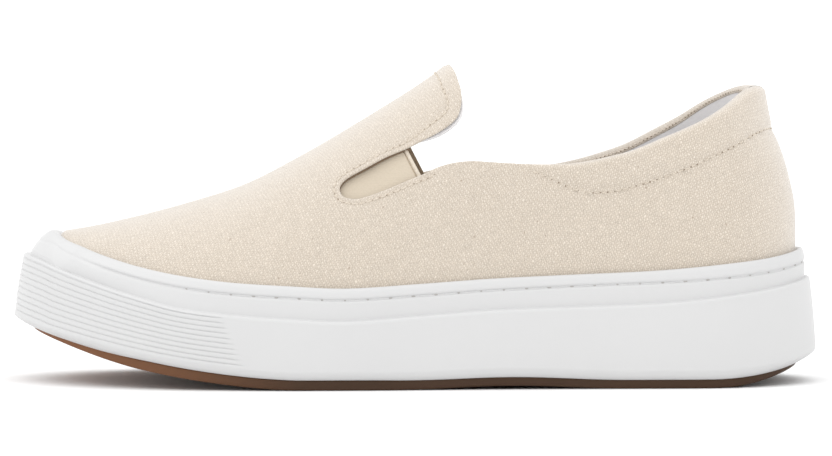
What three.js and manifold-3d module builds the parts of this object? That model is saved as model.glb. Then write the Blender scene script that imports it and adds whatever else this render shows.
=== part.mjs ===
// A left canvas slip-on sneaker, empty, standing on its sole. Millimetres, +Z up, the toe towards -X
// and the outer side of the foot towards -Y. The origin is on the floor under the middle of the sole.
import * as THREE from "three";
import { mergeVertices } from "three/addons/utils/BufferGeometryUtils.js";
import Module from "manifold-3d";

const wasm = await Module();
wasm.setup();

// Driving sizes of the last, which the outer face of the upper follows
const lastLength = 272.5;
const ballWidth = 92;
const heelHeight = 108;
const flapRise = 7;
const instepHeight = heelHeight + flapRise;
const toeRoundLength = 60;
const heelRoundLength = 42;
const toeTipDepth = 6;
const toeSwing = 5;
const backLean = 12;
const toePower = 2.5;
const archPower = 2.1;
const capPower = 2.15;

// Driving sizes of the sole
const soleHeight = 48;
const sideMargin = 8.3;
const toeMargin = 12;
const heelMargin = 7.5;
const outsoleThickness = 3.7;
const outsoleEdgeAtEnds = 1.4;
const outsoleTaperAtToe = 50;
const outsoleTaperAtHeel = 26;
const outsoleInset = 3.4;
const toeSpring = 18.6;
const toeBreakShare = 0.363;
const toeSpringPower = 1.65;
const heelSpring = 6.8;
const heelBreakShare = 0.86;
const archHeight = 1.2;
const archStartShare = 0.47;
const archEndShare = 0.76;
const bevelIn = 2;
const bevelInAtEnds = 7.5;
const bevelUp = 3;
const beadHeight = 4.2;
const beadWidth = 2.8;
const beadWidthAtToe = 5.6;
const seamGrooveDepth = 0.9;
const tierBulgeDepth = 0.3;
const tierBulgeDepthAtToe = 1.7;
const ledgeInset = 2.4;
const ledgeInsetAtToe = 3.6;
const upperTierInset = 4.3;
const upperTierInsetAtToe = 6.2;
const ribCount = 10;
const ribPitch = 2.12;
const ribDepth = 0.8;
const ribFirstDrop = 2.6;
const ribEndShare = 0.262;
const ribEndSlantShare = 0.0027;
const ribRunOut = 5;

// Driving sizes of the upper, the insole and the elastic gussets
const wallThickness = 2;
const fitGap = 0.3;
const goreThickness = 1.4;
const insoleThickness = 4;
const padStartShare = 0.6;
const padOutward = 1.1;
const padOutwardAtHeel = 0.5;
const padInward = 5.2;
const padRollHeight = 1.5;

// How finely the curved faces are divided
const stations = 30;
const archSteps = 12;

const soleLength = lastLength + toeMargin + heelMargin;
const soleToe = -soleLength / 2;
const lastToe = soleToe + toeMargin;

// Cross-sections of the last. along is a share of its length from the toe, lateral and medial are half
// widths as shares of the ball width, and top is the height of the ridge as a share of the instep height.
// Behind the throat the ridge is the closed cone above the collar, which the topline cuts off.
const lastSections = [
  { along: 0.0, lateral: 0.402, medial: 0.435, top: 0.466 },
  { along: 0.07, lateral: 0.427, medial: 0.457, top: 0.492 },
  { along: 0.136, lateral: 0.449, medial: 0.475, top: 0.526 },
  { along: 0.198, lateral: 0.471, medial: 0.491, top: 0.57 },
  { along: 0.264, lateral: 0.491, medial: 0.5, top: 0.624 },
  { along: 0.327, lateral: 0.5, medial: 0.483, top: 0.699 },
  { along: 0.418, lateral: 0.489, medial: 0.433, top: 0.817 },
  { along: 0.477, lateral: 0.471, medial: 0.402, top: 0.903 },
  { along: 0.522, lateral: 0.455, medial: 0.385, top: 0.979 },
  { along: 0.565, lateral: 0.44, medial: 0.372, top: 1.061 },
  { along: 0.62, lateral: 0.424, medial: 0.362, top: 1.157 },
  { along: 0.694, lateral: 0.407, medial: 0.359, top: 1.235 },
  { along: 0.804, lateral: 0.391, medial: 0.373, top: 1.27 },
  { along: 1.0, lateral: 0.37, medial: 0.37, top: 1.28 },
];

// Lines round the side of the sole. along is a share of the sole's length from the toe, and the heights of
// the ledge between the tiers, the rim and the seat of the foot are shares of the sole's height at the heel.
const soleLines = [
  { along: 0.0, ledge: 0.985, rim: 1.144, seat: 0.646 },
  { along: 0.036, ledge: 0.923, rim: 1.144, seat: 0.622 },
  { along: 0.065, ledge: 0.858, rim: 1.12, seat: 0.598 },
  { along: 0.091, ledge: 0.806, rim: 1.065, seat: 0.575 },
  { along: 0.12, ledge: 0.75, rim: 0.99, seat: 0.55 },
  { along: 0.164, ledge: 0.674, rim: 0.916, seat: 0.517 },
  { along: 0.212, ledge: 0.602, rim: 0.845, seat: 0.488 },
  { along: 0.274, ledge: 0.556, rim: 0.79, seat: 0.463 },
  { along: 0.346, ledge: 0.525, rim: 0.764, seat: 0.45 },
  { along: 0.414, ledge: 0.508, rim: 0.747, seat: 0.454 },
  { along: 0.5, ledge: 0.544, rim: 0.777, seat: 0.488 },
  { along: 0.592, ledge: 0.585, rim: 0.815, seat: 0.533 },
  { along: 0.688, ledge: 0.606, rim: 0.842, seat: 0.579 },
  { along: 0.791, ledge: 0.629, rim: 0.875, seat: 0.625 },
  { along: 0.877, ledge: 0.679, rim: 0.925, seat: 0.658 },
  { along: 0.945, ledge: 0.739, rim: 0.969, seat: 0.679 },
  { along: 1.0, ledge: 0.812, rim: 1.002, seat: 0.688 },
];

// The collar seen from the side. along is a share of the last's length. A height is the sum of an instep
// share of the instep height and a heel share of the heel height: top for the lateral topline, lift for
// what the medial topline adds to it, and seam for the stitched line under the padding, as heel shares.
const collarLines = [
  { along: 0.503, instep: 0.664, heel: 0.0, lift: -0.008, seam: 0.7, padding: 0.0 },
  { along: 0.518, instep: 0.682, heel: 0.0, lift: -0.018, seam: 0.71, padding: 0.0 },
  { along: 0.54, instep: 0.697, heel: 0.0, lift: -0.018, seam: 0.72, padding: 0.0 },
  { along: 0.565, instep: 0.703, heel: 0.0, lift: -0.018, seam: 0.73, padding: 0.0 },
  { along: 0.591, instep: 0.6, heel: 0.106, lift: -0.018, seam: 0.728, padding: 0.0 },
  { along: 0.633, instep: 0.4, heel: 0.313, lift: -0.017, seam: 0.722, padding: 0.15 },
  { along: 0.672, instep: 0.2, heel: 0.525, lift: -0.014, seam: 0.69, padding: 0.6 },
  { along: 0.705, instep: 0.0, heel: 0.745, lift: -0.008, seam: 0.655, padding: 0.9 },
  { along: 0.741, instep: 0.0, heel: 0.763, lift: -0.004, seam: 0.641, padding: 1.0 },
  { along: 0.778, instep: 0.0, heel: 0.788, lift: 0.004, seam: 0.658, padding: 1.0 },
  { along: 0.818, instep: 0.0, heel: 0.83, lift: 0.018, seam: 0.688, padding: 1.0 },
  { along: 0.853, instep: 0.0, heel: 0.867, lift: 0.028, seam: 0.72, padding: 1.0 },
  { along: 0.886, instep: 0.0, heel: 0.907, lift: 0.032, seam: 0.76, padding: 1.0 },
  { along: 0.915, instep: 0.0, heel: 0.951, lift: 0.022, seam: 0.8, padding: 1.0 },
  { along: 0.94, instep: 0.0, heel: 0.99, lift: 0.006, seam: 0.832, padding: 1.0 },
  { along: 0.96, instep: 0.0, heel: 1.0, lift: 0.0, seam: 0.843, padding: 1.0 },
  { along: 1.02, instep: 0.0, heel: 1.0, lift: 0.0, seam: 0.843, padding: 1.0 },
];

// The throat seen from the side, from the tip of the flap round the slot to the front of the collar.
// along is a share of the last's length, and height a share of the instep height.
const throatLine = [
  { along: 0.524, height: 1.035 },
  { along: 0.54, height: 0.992 },
  { along: 0.5475, height: 0.95 },
  { along: 0.553, height: 0.917 },
  { along: 0.555, height: 0.88 },
  { along: 0.552, height: 0.843 },
  { along: 0.543, height: 0.815 },
  { along: 0.5295, height: 0.791 },
  { along: 0.5155, height: 0.773 },
  { along: 0.498, height: 0.757 },
  { along: 0.4715, height: 0.7315 },
  { along: 0.451, height: 0.711 },
  { along: 0.425, height: 0.678 },
  { along: 0.402, height: 0.6487 },
  { along: 0.3925, height: 0.626 },
  { along: 0.3925, height: 0.605 },
  { along: 0.3985, height: 0.5905 },
  { along: 0.411, height: 0.5858 },
  { along: 0.4225, height: 0.5895 },
  { along: 0.4435, height: 0.606 },
  { along: 0.462, height: 0.6235 },
  { along: 0.485, height: 0.647 },
];

// The edge of a gusset seen from the side: as the slot, with its margin hidden behind the canvas.
const goreLine = [
  { along: 0.4675, height: 0.79 },
  { along: 0.448, height: 0.752 },
  { along: 0.405, height: 0.705 },
  { along: 0.372, height: 0.66 },
  { along: 0.361, height: 0.605 },
  { along: 0.38, height: 0.555 },
  { along: 0.42, height: 0.542 },
  { along: 0.462, height: 0.573 },
  { along: 0.512, height: 0.622 },
];

// The back of the heel seen from the side. height is a share of the heel height, and inward a share of how
// far the top of the heel leans in.
const backLines = [
  { height: 0.54, inward: 0.0 },
  { height: 0.6, inward: 0.035 },
  { height: 0.65, inward: 0.117 },
  { height: 0.724, inward: 0.283 },
  { height: 0.781, inward: 0.45 },
  { height: 0.815, inward: 0.575 },
  { height: 0.845, inward: 0.7 },
  { height: 0.88, inward: 0.795 },
  { height: 0.93, inward: 0.89 },
  { height: 1.0, inward: 1.0 },
  { height: 1.4, inward: 1.55 },
];

const clamp = THREE.MathUtils.clamp;
const mix = THREE.MathUtils.lerp;
const smoothstep = THREE.MathUtils.smoothstep;

// One column of a table at a place along its first column, on a smooth curve through its rows.
function read(rows, column, place, first = "along") {
  const at = clamp(place, rows[0][first], rows[rows.length - 1][first]);
  let i = 0;
  while (i < rows.length - 2 && rows[i + 1][first] < at) i += 1;
  const slope = (k) => {
    const before = rows[Math.max(k - 1, 0)];
    const after = rows[Math.min(k + 1, rows.length - 1)];
    return (after[column] - before[column]) / (after[first] - before[first]);
  };
  const span = rows[i + 1][first] - rows[i][first];
  const t = (at - rows[i][first]) / span;
  const bend = t * t * (3 - 2 * t);
  return (
    mix(rows[i][column], rows[i + 1][column], bend) +
    span * (slope(i) * t * (1 - t) * (1 - t) - slope(i + 1) * t * t * (1 - t))
  );
}

const lastX = (along) => lastToe + along * lastLength;
const alongLast = (x) => (x - lastToe) / lastLength;
const alongSole = (x) => clamp((x - soleToe) / soleLength, 0, 1);
const soleLine = (column, x) => soleHeight * read(soleLines, column, alongSole(x));
const seatHeight = (x) => soleLine("seat", x);

// The underside of the cupsole: flat under the ball and the heel, with toe spring, arch and heel bevel.
function cupBottom(x) {
  const along = alongSole(x);
  const toe = toeSpring * Math.pow(Math.max(0, 1 - along / toeBreakShare), toeSpringPower);
  const heel = heelSpring * Math.pow(Math.max(0, (along - heelBreakShare) / (1 - heelBreakShare)), 2);
  const share = clamp((along - archStartShare) / (archEndShare - archStartShare), 0, 1);
  return outsoleThickness + toe + heel + archHeight * Math.pow(Math.sin(Math.PI * share), 2);
}

// The underside of the whole shoe, where the brown rubber thins out towards the toe and the heel.
function treadHeight(x) {
  const fromToe = smoothstep(x - soleToe, 0, outsoleTaperAtToe);
  const fromHeel = smoothstep(soleToe + soleLength - x, 0, outsoleTaperAtHeel);
  return cupBottom(x) - mix(outsoleEdgeAtEnds, outsoleThickness, fromToe * fromHeel);
}

// A rounded end: 0 at the tip and 1 from the round length on.
function roundEnd(distance, roundLength) {
  const share = clamp(1 - distance / roundLength, 0, 1);
  return Math.pow(1 - Math.pow(share, capPower), 1 / capPower);
}

// Half width, ridge height, seat height, middle line and squareness of the last at a share of its length.
function lastSection(along, side) {
  const x = lastX(along);
  const fromToe = along * lastLength;
  const fromHeel = (1 - along) * lastLength;
  const round = roundEnd(fromToe, toeRoundLength) * roundEnd(fromHeel, heelRoundLength);
  const seat = seatHeight(x);
  const top = instepHeight * read(lastSections, "top", along);
  const toeShare = 1 - smoothstep(fromToe, 0, toeRoundLength);
  return {
    x,
    seat,
    half: ballWidth * read(lastSections, side < 0 ? "lateral" : "medial", along) * round,
    top: seat + (top - seat) * roundEnd(fromToe, toeTipDepth),
    middle: toeSwing * toeShare,
    square: mix(archPower, toePower, toeShare),
  };
}

// How far the back of the heel stands in from its fullest point at a height.
function leanAt(along, height) {
  return -backLean * read(backLines, "inward", height / heelHeight, "height") * smoothstep(along, 0.7, 1);
}

// A point of the last, turn 0 at the seat and 1 on the ridge.
function lastPoint(along, side, turn) {
  const s = lastSection(along, side);
  const angle = (turn * Math.PI) / 2;
  const z = s.seat + (s.top - s.seat) * Math.pow(Math.sin(angle), 2 / s.square);
  const y = s.middle + side * s.half * Math.pow(Math.max(0, Math.cos(angle)), 2 / s.square);
  return new THREE.Vector3(s.x + leanAt(along, z), y, z);
}

// A trip round the shoe: 0 at the toe, 1 at the heel along the lateral side, and 2 at the toe again.
const alongOf = (trip) => (1 - Math.cos(Math.PI * trip)) / 2;
const sideOf = (trip) => (trip <= 1 ? -1 : 1);

// A point of the last's side wall at a height.
function wallPoint(trip, z) {
  const along = alongOf(trip);
  const side = sideOf(trip);
  const s = lastSection(along, side);
  const rise = clamp((z - s.seat) / (s.top - s.seat), 0, 1);
  const y = s.half * Math.pow(1 - Math.pow(rise, s.square), 1 / s.square);
  return new THREE.Vector3(s.x + leanAt(along, z), s.middle + side * y, z);
}

// The outward normal of the side wall.
function wallNormal(trip, z) {
  const step = 0.004;
  const rise = 0.5;
  const along = wallPoint(trip + step, z).sub(wallPoint(trip - step, z));
  const up = wallPoint(trip, z + rise).sub(wallPoint(trip, z - rise));
  return along.cross(up).normalize();
}

const offsetPoint = (trip, z, out) => wallPoint(trip, z).addScaledVector(wallNormal(trip, z), out);

// Height of the last's upper surface above a point of the plan.
function lastHeight(x, y) {
  const along = clamp(alongLast(x), 0, 1);
  const middle = lastSection(along, -1).middle;
  const s = lastSection(along, y < middle ? -1 : 1);
  const share = clamp(Math.abs(y - middle) / Math.max(s.half, 1e-6), 0, 1);
  return s.seat + (s.top - s.seat) * Math.pow(1 - Math.pow(share, s.square), 1 / s.square);
}

// A solid from a closed skin. Faces that have shrunk to a line, as at the tip of a round end, are left out.
function solidOf(geometry) {
  const bare = geometry.index ? geometry.toNonIndexed() : geometry.clone();
  for (const name of Object.keys(bare.attributes)) if (name !== "position") bare.deleteAttribute(name);
  const merged = mergeVertices(bare, 1e-4);
  const faces = [];
  for (let i = 0; i < merged.index.count; i += 3) {
    const [a, b, c] = [0, 1, 2].map((corner) => merged.index.getX(i + corner));
    if (a !== b && b !== c && c !== a) faces.push(a, b, c);
  }
  const vertProperties = new Float32Array(merged.attributes.position.array);
  const triVerts = new Uint32Array(faces);
  return new wasm.Manifold(new wasm.Mesh({ numProp: 3, vertProperties, triVerts }));
}

function geometryOf(solid) {
  const mesh = solid.getMesh();
  const geometry = new THREE.BufferGeometry();
  const step = mesh.numProp;
  const position = new Float32Array(mesh.numVert * 3);
  for (let i = 0; i < mesh.numVert; i += 1) {
    position.set(mesh.vertProperties.subarray(i * step, i * step + 3), i * 3);
  }
  geometry.setAttribute("position", new THREE.BufferAttribute(position, 3));
  geometry.setIndex(new THREE.BufferAttribute(new Uint32Array(mesh.triVerts), 1));
  const flat = geometry.toNonIndexed();
  flat.computeVertexNormals();
  return flat;
}

function geometryFrom(points, faces) {
  const geometry = new THREE.BufferGeometry();
  geometry.setAttribute(
    "position",
    new THREE.Float32BufferAttribute(points.flatMap((p) => [p.x, p.y, p.z]), 3),
  );
  geometry.setIndex(faces.flat());
  return geometry;
}

const quad = (a, b, c, d) => [
  [a, b, c],
  [a, c, d],
];

// A closed solid from rings of equal length that go round the shoe, from the lowest ring to the highest.
// A ring starts at the toe and comes back to it, so its two sides pair up across the shoe.
function ringSolid(rings) {
  const n = rings[0].length;
  const points = rings.flat();
  const faces = [];
  for (let k = 0; k + 1 < rings.length; k += 1) {
    for (let j = 0; j < n; j += 1) {
      const next = (j + 1) % n;
      faces.push(...quad(k * n + j, k * n + next, (k + 1) * n + next, (k + 1) * n + j));
    }
  }
  const cap = (start, flip) => {
    for (let j = 0; j < n / 2; j += 1) {
      const a = start + j;
      const b = start + j + 1;
      const c = start + n - 1 - j;
      const d = start + ((n - j) % n);
      const pair = j === 0 ? [[a, c, b]] : j + 1 === n / 2 ? [[a, d, b]] : quad(a, d, c, b);
      faces.push(...(flip ? pair.map((f) => [...f].reverse()) : pair));
    }
  };
  cap(0, false);
  cap((rings.length - 1) * n, true);
  return solidOf(geometryFrom(points, faces));
}

// A solid from closed sections of equal length, with flat ends.
function sweepSolid(sections) {
  const n = sections[0].length;
  const points = sections.flat();
  const faces = [];
  for (let k = 0; k + 1 < sections.length; k += 1) {
    for (let j = 0; j < n; j += 1) {
      const next = (j + 1) % n;
      faces.push(...quad(k * n + j, (k + 1) * n + j, (k + 1) * n + next, k * n + next));
    }
  }
  const flatFaces = (section) => {
    const middle = section.reduce((sum, p) => sum.add(p), new THREE.Vector3()).divideScalar(n);
    const u = section[0].clone().sub(middle).normalize();
    const w = new THREE.Vector3();
    section.forEach((p, j) => {
      w.add(p.clone().sub(middle).cross(section[(j + 1) % n].clone().sub(middle)));
    });
    const v = w.normalize().clone().cross(u);
    const flat = section.map((p) => {
      const q = p.clone().sub(middle);
      return new THREE.Vector2(q.dot(u), q.dot(v));
    });
    return THREE.ShapeUtils.triangulateShape(flat, []);
  };
  const last = (sections.length - 1) * n;
  for (const [a, b, c] of flatFaces(sections[0])) faces.push([a, b, c]);
  for (const [a, b, c] of flatFaces(sections.at(-1))) faces.push([last + a, last + c, last + b]);
  const made = solidOf(geometryFrom(points, faces));
  return made.volume() < 0 ? solidOf(geometryFrom(points, faces.map((f) => [...f].reverse()))) : made;
}

// The outward normal at each point of a skin, the same for points that share a place.
function weldedNormals(points, skin) {
  const welded = mergeVertices(geometryFrom(points, skin), 1e-4);
  welded.computeVertexNormals();
  const normals = [];
  skin.flat().forEach((point, corner) => {
    const source = welded.attributes.normal;
    normals[point] = new THREE.Vector3().fromBufferAttribute(source, welded.index.getX(corner));
  });
  return normals;
}

// The last as a closed solid, grown outward by a distance, its bottom moved down by another.
function lastForm(grow, drop) {
  const rows = 2 * archSteps + 1;
  const points = [];
  const skin = [];
  for (let i = 0; i <= stations; i += 1) {
    const along = alongOf(i / stations);
    for (let k = 0; k < rows; k += 1) {
      const side = k <= archSteps ? -1 : 1;
      const turn = 1 - Math.abs(k - archSteps) / archSteps;
      points.push(lastPoint(along, side, turn));
    }
  }
  for (let i = 0; i < stations; i += 1) {
    for (let k = 0; k + 1 < rows; k += 1) {
      const a = i * rows + k;
      skin.push(...quad(a, a + 1, a + rows + 1, a + rows).map((f) => [...f].reverse()));
    }
  }
  const normals = weldedNormals(points, skin);
  const grown = points.map((p, i) => p.clone().addScaledVector(normals[i], grow));
  const foot = (i, k) => i * rows + k;
  for (let i = 0; i <= stations; i += 1) {
    for (const k of [0, rows - 1]) {
      const p = grown[foot(i, k)];
      p.z = points[foot(i, k)].z - drop;
    }
  }
  for (let k = 0; k < rows; k += 1) {
    const p = grown[k];
    p.z = grown[0].z;
  }
  const base = [];
  for (let i = 0; i < stations; i += 1) {
    base.push(...quad(foot(i, 0), foot(i, rows - 1), foot(i + 1, rows - 1), foot(i + 1, 0)));
  }
  return solidOf(geometryFrom(grown, [...skin, ...base]));
}

// A point of the last's plan outline.
function outlinePoint(trip) {
  const side = sideOf(trip);
  const s = lastSection(alongOf(trip), side);
  return new THREE.Vector3(s.x, s.middle + side * s.half, 0);
}

// A station on the plan outline of the last, with its outward direction in the plan and the sole's margin.
function stationAt(trip) {
  const step = 1 / stations;
  const at = outlinePoint(trip);
  const run = outlinePoint((trip + step) % 2).sub(outlinePoint((trip + 2 - step) % 2)).normalize();
  const out = new THREE.Vector3(run.y, -run.x, 0);
  const endShare = out.x * out.x;
  const margin = mix(sideMargin, out.x < 0 ? toeMargin : heelMargin, endShare);
  const edge = at.clone().addScaledVector(out, margin);
  const toeShare = 1 - smoothstep(at.x - lastToe, 0, toeRoundLength);
  return { trip, at, out, endShare, margin, edge, toeShare };
}

// How far in from the outline the last's surface reaches the height of the rim.
function rimInset(station) {
  const rim = rimHeight(station.edge.x);
  let near = 0;
  let far = 3 * toeTipDepth;
  for (let step = 0; step < 30; step += 1) {
    const tried = (near + far) / 2;
    const p = station.at.clone().addScaledVector(station.out, -tried);
    if (lastHeight(p.x, p.y) < rim) near = tried;
    else far = tried;
  }
  return far;
}

const outline = Array.from({ length: 2 * stations }, (_, j) => stationAt(j / stations));

// A ring round the sole at a distance out from the last's outline, at the height that its own place has.
function soleRing(outOf, heightAt) {
  return outline.map((station) => {
    const p = station.at.clone().addScaledVector(station.out, outOf(station));
    p.z = heightAt(p.x, station);
    return p;
  });
}

const atToe = (s, side, toe) => mix(side, toe, s.toeShare);
const atEnds = (s, side, end) => mix(side, end, s.endShare);
const ledgeHeight = (x) => soleLine("ledge", x);
const rimHeight = (x) => soleLine("rim", x);
const cornerHeight = (x, s) => cupBottom(x) + atEnds(s, bevelUp, 0.5 * bevelUp);

// The lower tier's wall: how far out it stands at a share of its height above the bevel.
const tierOut = (s, share) => s.margin - atToe(s, ledgeInset, ledgeInsetAtToe) * share * mix(0.6, 1, share);

// The cupsole's outside: a bevelled lower tier, a ledge, an upper tier, a seam groove and a bead.
function cupsoleOutside() {
  const bevel = (s) => atEnds(s, bevelIn, bevelInAtEnds);
  const lower = (inset, up) => soleRing((s) => s.margin - inset(s), up);
  const shoulder = (share, drop) => soleRing((s) => tierOut(s, share), (x) => ledgeHeight(x) - drop);
  const tierInset = (s) => atToe(s, upperTierInset, upperTierInsetAtToe);
  const upper = (drop, outward) =>
    soleRing(
      (s) => {
        const tier = rimHeight(s.edge.x) - ledgeHeight(s.edge.x);
        const share = 1 - drop / tier;
        const foot = s.margin - tierInset(s);
        const head = atToe(s, beadWidth, beadWidthAtToe) - rimInset(s);
        const bulge = atToe(s, tierBulgeDepth, tierBulgeDepthAtToe) * Math.sin(Math.PI * share);
        return mix(foot, head, share) + bulge + outward;
      },
      (x) => rimHeight(x) - drop,
    );
  return ringSolid([
    lower((s) => outsoleInset + bevel(s), cupBottom),
    lower(bevel, (x) => cupBottom(x) + fitGap),
    lower((s) => 0.3 * bevel(s), (x, s) => mix(cupBottom(x), cornerHeight(x, s), 0.55)),
    lower(() => 0, cornerHeight),
    shoulder(0.85, 1.6),
    shoulder(0.93, 0.5),
    shoulder(1.12, 0),
    lower(tierInset, ledgeHeight),
    upper(beadHeight + 0.7, 0),
    upper(beadHeight, -seamGrooveDepth),
    upper(beadHeight - 0.7, 0.1),
    upper(0.45 * beadHeight, 0.35),
    upper(0.12 * beadHeight, -0.5),
    upper(0, -0.45 * beadWidth),
  ]);
}

// One of the grooves that wrap round the toe, parallel to the ledge, running out flat at both ends.
function ribGroove(index) {
  const down = ribFirstDrop + index * ribPitch;
  const end = ribEndShare + index * ribEndSlantShare;
  const section = (s, depth) => {
    const ledge = ledgeHeight(s.edge.x);
    const corner = cornerHeight(s.edge.x, s);
    const share = clamp(1 - down / (ledge - corner), 0, 1);
    const place = (out, up) => {
      const p = s.at.clone().addScaledVector(s.out, out);
      p.z = ledge - down + up;
      return p;
    };
    const wall = tierOut(s, share) - Math.max(0, bevelIn * (down / (ledge - corner) - 1));
    return [place(wall - depth, 0), place(wall + 1.2, 0.72 * ribPitch), place(wall + 1.2, -0.72 * ribPitch)];
  };
  const lastTrip = (limit, side) => {
    let near = 0;
    let far = 1;
    for (let step = 0; step < 30; step += 1) {
      const tried = (near + far) / 2;
      if (alongSole(stationAt(side < 0 ? tried : 2 - tried).edge.x) < limit) near = tried;
      else far = tried;
    }
    return near;
  };
  const sideSections = (side) => {
    const tripOf = (distance) => (side < 0 ? distance : 2 - distance);
    const full = lastTrip(end - ribRunOut / soleLength, side);
    const out = lastTrip(end, side);
    const sections = [];
    for (let j = 1; j / stations < full; j += 1) {
      sections.push(section(stationAt(tripOf(j / stations)), ribDepth));
    }
    sections.push(section(stationAt(tripOf(full)), ribDepth), section(stationAt(tripOf(out)), -fitGap));
    return sections;
  };
  const medial = sideSections(1).reverse();
  return sweepSolid([...medial, section(stationAt(0), ribDepth), ...sideSections(-1)]);
}

function makeCupsole() {
  const grooves = Array.from({ length: ribCount }, (_, index) => ribGroove(index));
  return cupsoleOutside().subtract(lastForm(fitGap, fitGap)).subtract(wasm.Manifold.union(grooves));
}

// The brown rubber under the cupsole, flat where it stands.
function makeOutsole() {
  const bevel = (s) => atEnds(s, bevelIn, bevelInAtEnds);
  const inset = (step) => (s) => s.margin - bevel(s) - step;
  return ringSolid([
    soleRing(inset(outsoleInset), treadHeight),
    soleRing(inset(0.4), (x) => treadHeight(x) + 0.6),
    soleRing(inset(0.2), (x) => cupBottom(x) - fitGap),
  ]);
}

function makeInsole() {
  const slab = ringSolid([
    soleRing(() => sideMargin, (x) => seatHeight(x) - wallThickness),
    soleRing(() => sideMargin, (x) => seatHeight(x) + insoleThickness),
  ]);
  return lastForm(-wallThickness - fitGap, 0).intersect(slab);
}

// A side-view outline as a block that runs across one side of the shoe.
function sideBlock(points, side) {
  const reach = 2 * ballWidth;
  const overlap = fitGap;
  const shape = new THREE.Shape(points);
  const geometry = new THREE.ExtrudeGeometry(shape, { depth: reach + overlap, bevelEnabled: false });
  geometry.rotateX(Math.PI / 2);
  geometry.translate(0, side < 0 ? overlap : reach, 0);
  return solidOf(geometry);
}

const throatPoint = ({ along, height }) => new THREE.Vector2(lastX(along), instepHeight * height);

function toplineHeight(x, side) {
  const along = alongLast(x);
  const front = instepHeight * read(collarLines, "instep", along);
  const back = heelHeight * read(collarLines, "heel", along);
  const lift = side > 0 ? heelHeight * read(collarLines, "lift", along) : 0;
  return front + back + lift;
}

const paddingAt = (x) => clamp(read(collarLines, "padding", alongLast(x)), 0, 1);

// What the foot's opening takes off one side: all above the flap's end, the slot and the topline.
function openingBlock(side) {
  const over = 2 * instepHeight;
  const collarFront = lastX(collarLines[0].along);
  const collarBack = lastX(1.2);
  const steps = 26;
  const line = throatLine.map(throatPoint);
  for (let i = 0; i <= steps; i += 1) {
    const x = mix(collarFront, collarBack, i / steps);
    line.push(new THREE.Vector2(x, toplineHeight(x, side) - padRollHeight * paddingAt(x)));
  }
  line.push(new THREE.Vector2(collarBack, over), new THREE.Vector2(line[0].x, over));
  return sideBlock(line, side);
}

// The padded collar: a soft roll that rises from the seam, goes over the topline and down inside.
function makeCollarPad() {
  const steps = 4 * stations;
  const sections = [];
  for (let i = 0; i <= steps; i += 1) {
    const trip = (2 * i) / steps;
    const along = alongOf(trip);
    if (along < padStartShare) continue;
    const side = sideOf(trip);
    let x = lastX(along);
    for (let pass = 0; pass < 6; pass += 1) x = lastX(along) + leanAt(along, toplineHeight(x, side));
    const top = toplineHeight(x, side);
    const fill = paddingAt(x);
    const seam = Math.min(heelHeight * read(collarLines, "seam", alongLast(x)), top - 2 * padRollHeight);
    const outward = mix(padOutward, padOutwardAtHeel, smoothstep(along, 0.85, 1)) * fill;
    const inward = mix(wallThickness - 0.1, padInward + wallThickness, fill);
    const place = (z, out) => offsetPoint(trip, z, out);
    const inside = -0.9 * wallThickness;
    sections.push([
      place(seam - 1, -0.5 * wallThickness),
      place(seam, mix(-0.2, 0.4, fill)),
      place(mix(seam, top, 0.2), mix(-0.2, outward, fill)),
      place(mix(seam, top, 0.6), mix(-0.2, outward, fill)),
      place(top - padRollHeight, mix(-0.2, outward - 0.4, fill)),
      place(top, mix(-0.3, -0.25 * inward, fill)),
      place(top, mix(-0.8 * wallThickness, -0.6 * inward, fill)),
      place(top - 1.2 * padRollHeight, mix(inside, -0.95 * inward, fill)),
      place(mix(seam, top, 0.45), mix(inside, -inward, fill)),
      place(seam - 1, mix(inside, -0.7 * inward, fill)),
      place(seam - 4, -0.5 * wallThickness),
    ]);
  }
  return sweepSolid(sections);
}

function makeUpper() {
  const shell = lastForm(0, 0).subtract(lastForm(-wallThickness, 4 * wallThickness));
  return shell.subtract(openingBlock(-1)).subtract(openingBlock(1)).add(makeCollarPad());
}

function makeGore(side) {
  const front = wallThickness + fitGap;
  const layer = lastForm(-front, 0).subtract(lastForm(-front - goreThickness, 4 * goreThickness));
  return layer.intersect(sideBlock(goreLine.map(throatPoint), side));
}

const canvas = new THREE.MeshStandardMaterial({ color: 0xe0d2bc, roughness: 0.95, metalness: 0 });
const elastic = new THREE.MeshStandardMaterial({ color: 0xdccbb0, roughness: 0.8, metalness: 0 });
const whiteRubber = new THREE.MeshStandardMaterial({ color: 0xf0f0ee, roughness: 0.55, metalness: 0 });
const gumRubber = new THREE.MeshStandardMaterial({ color: 0x7c563c, roughness: 0.6, metalness: 0 });
const lining = new THREE.MeshStandardMaterial({ color: 0xe6e4e2, roughness: 0.9, metalness: 0 });

const shoe = new THREE.Group();

function addPart(name, solid, material) {
  const mesh = new THREE.Mesh(geometryOf(solid), material);
  mesh.name = name;
  shoe.add(mesh);
}

addPart("upper", makeUpper(), canvas);
addPart("cupsole", makeCupsole(), whiteRubber);
addPart("outsole", makeOutsole(), gumRubber);
addPart("insole", makeInsole(), lining);
addPart("gore_lateral", makeGore(-1), elastic);
addPart("gore_medial", makeGore(1), elastic);

export default shoe;
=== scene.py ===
import math

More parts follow.
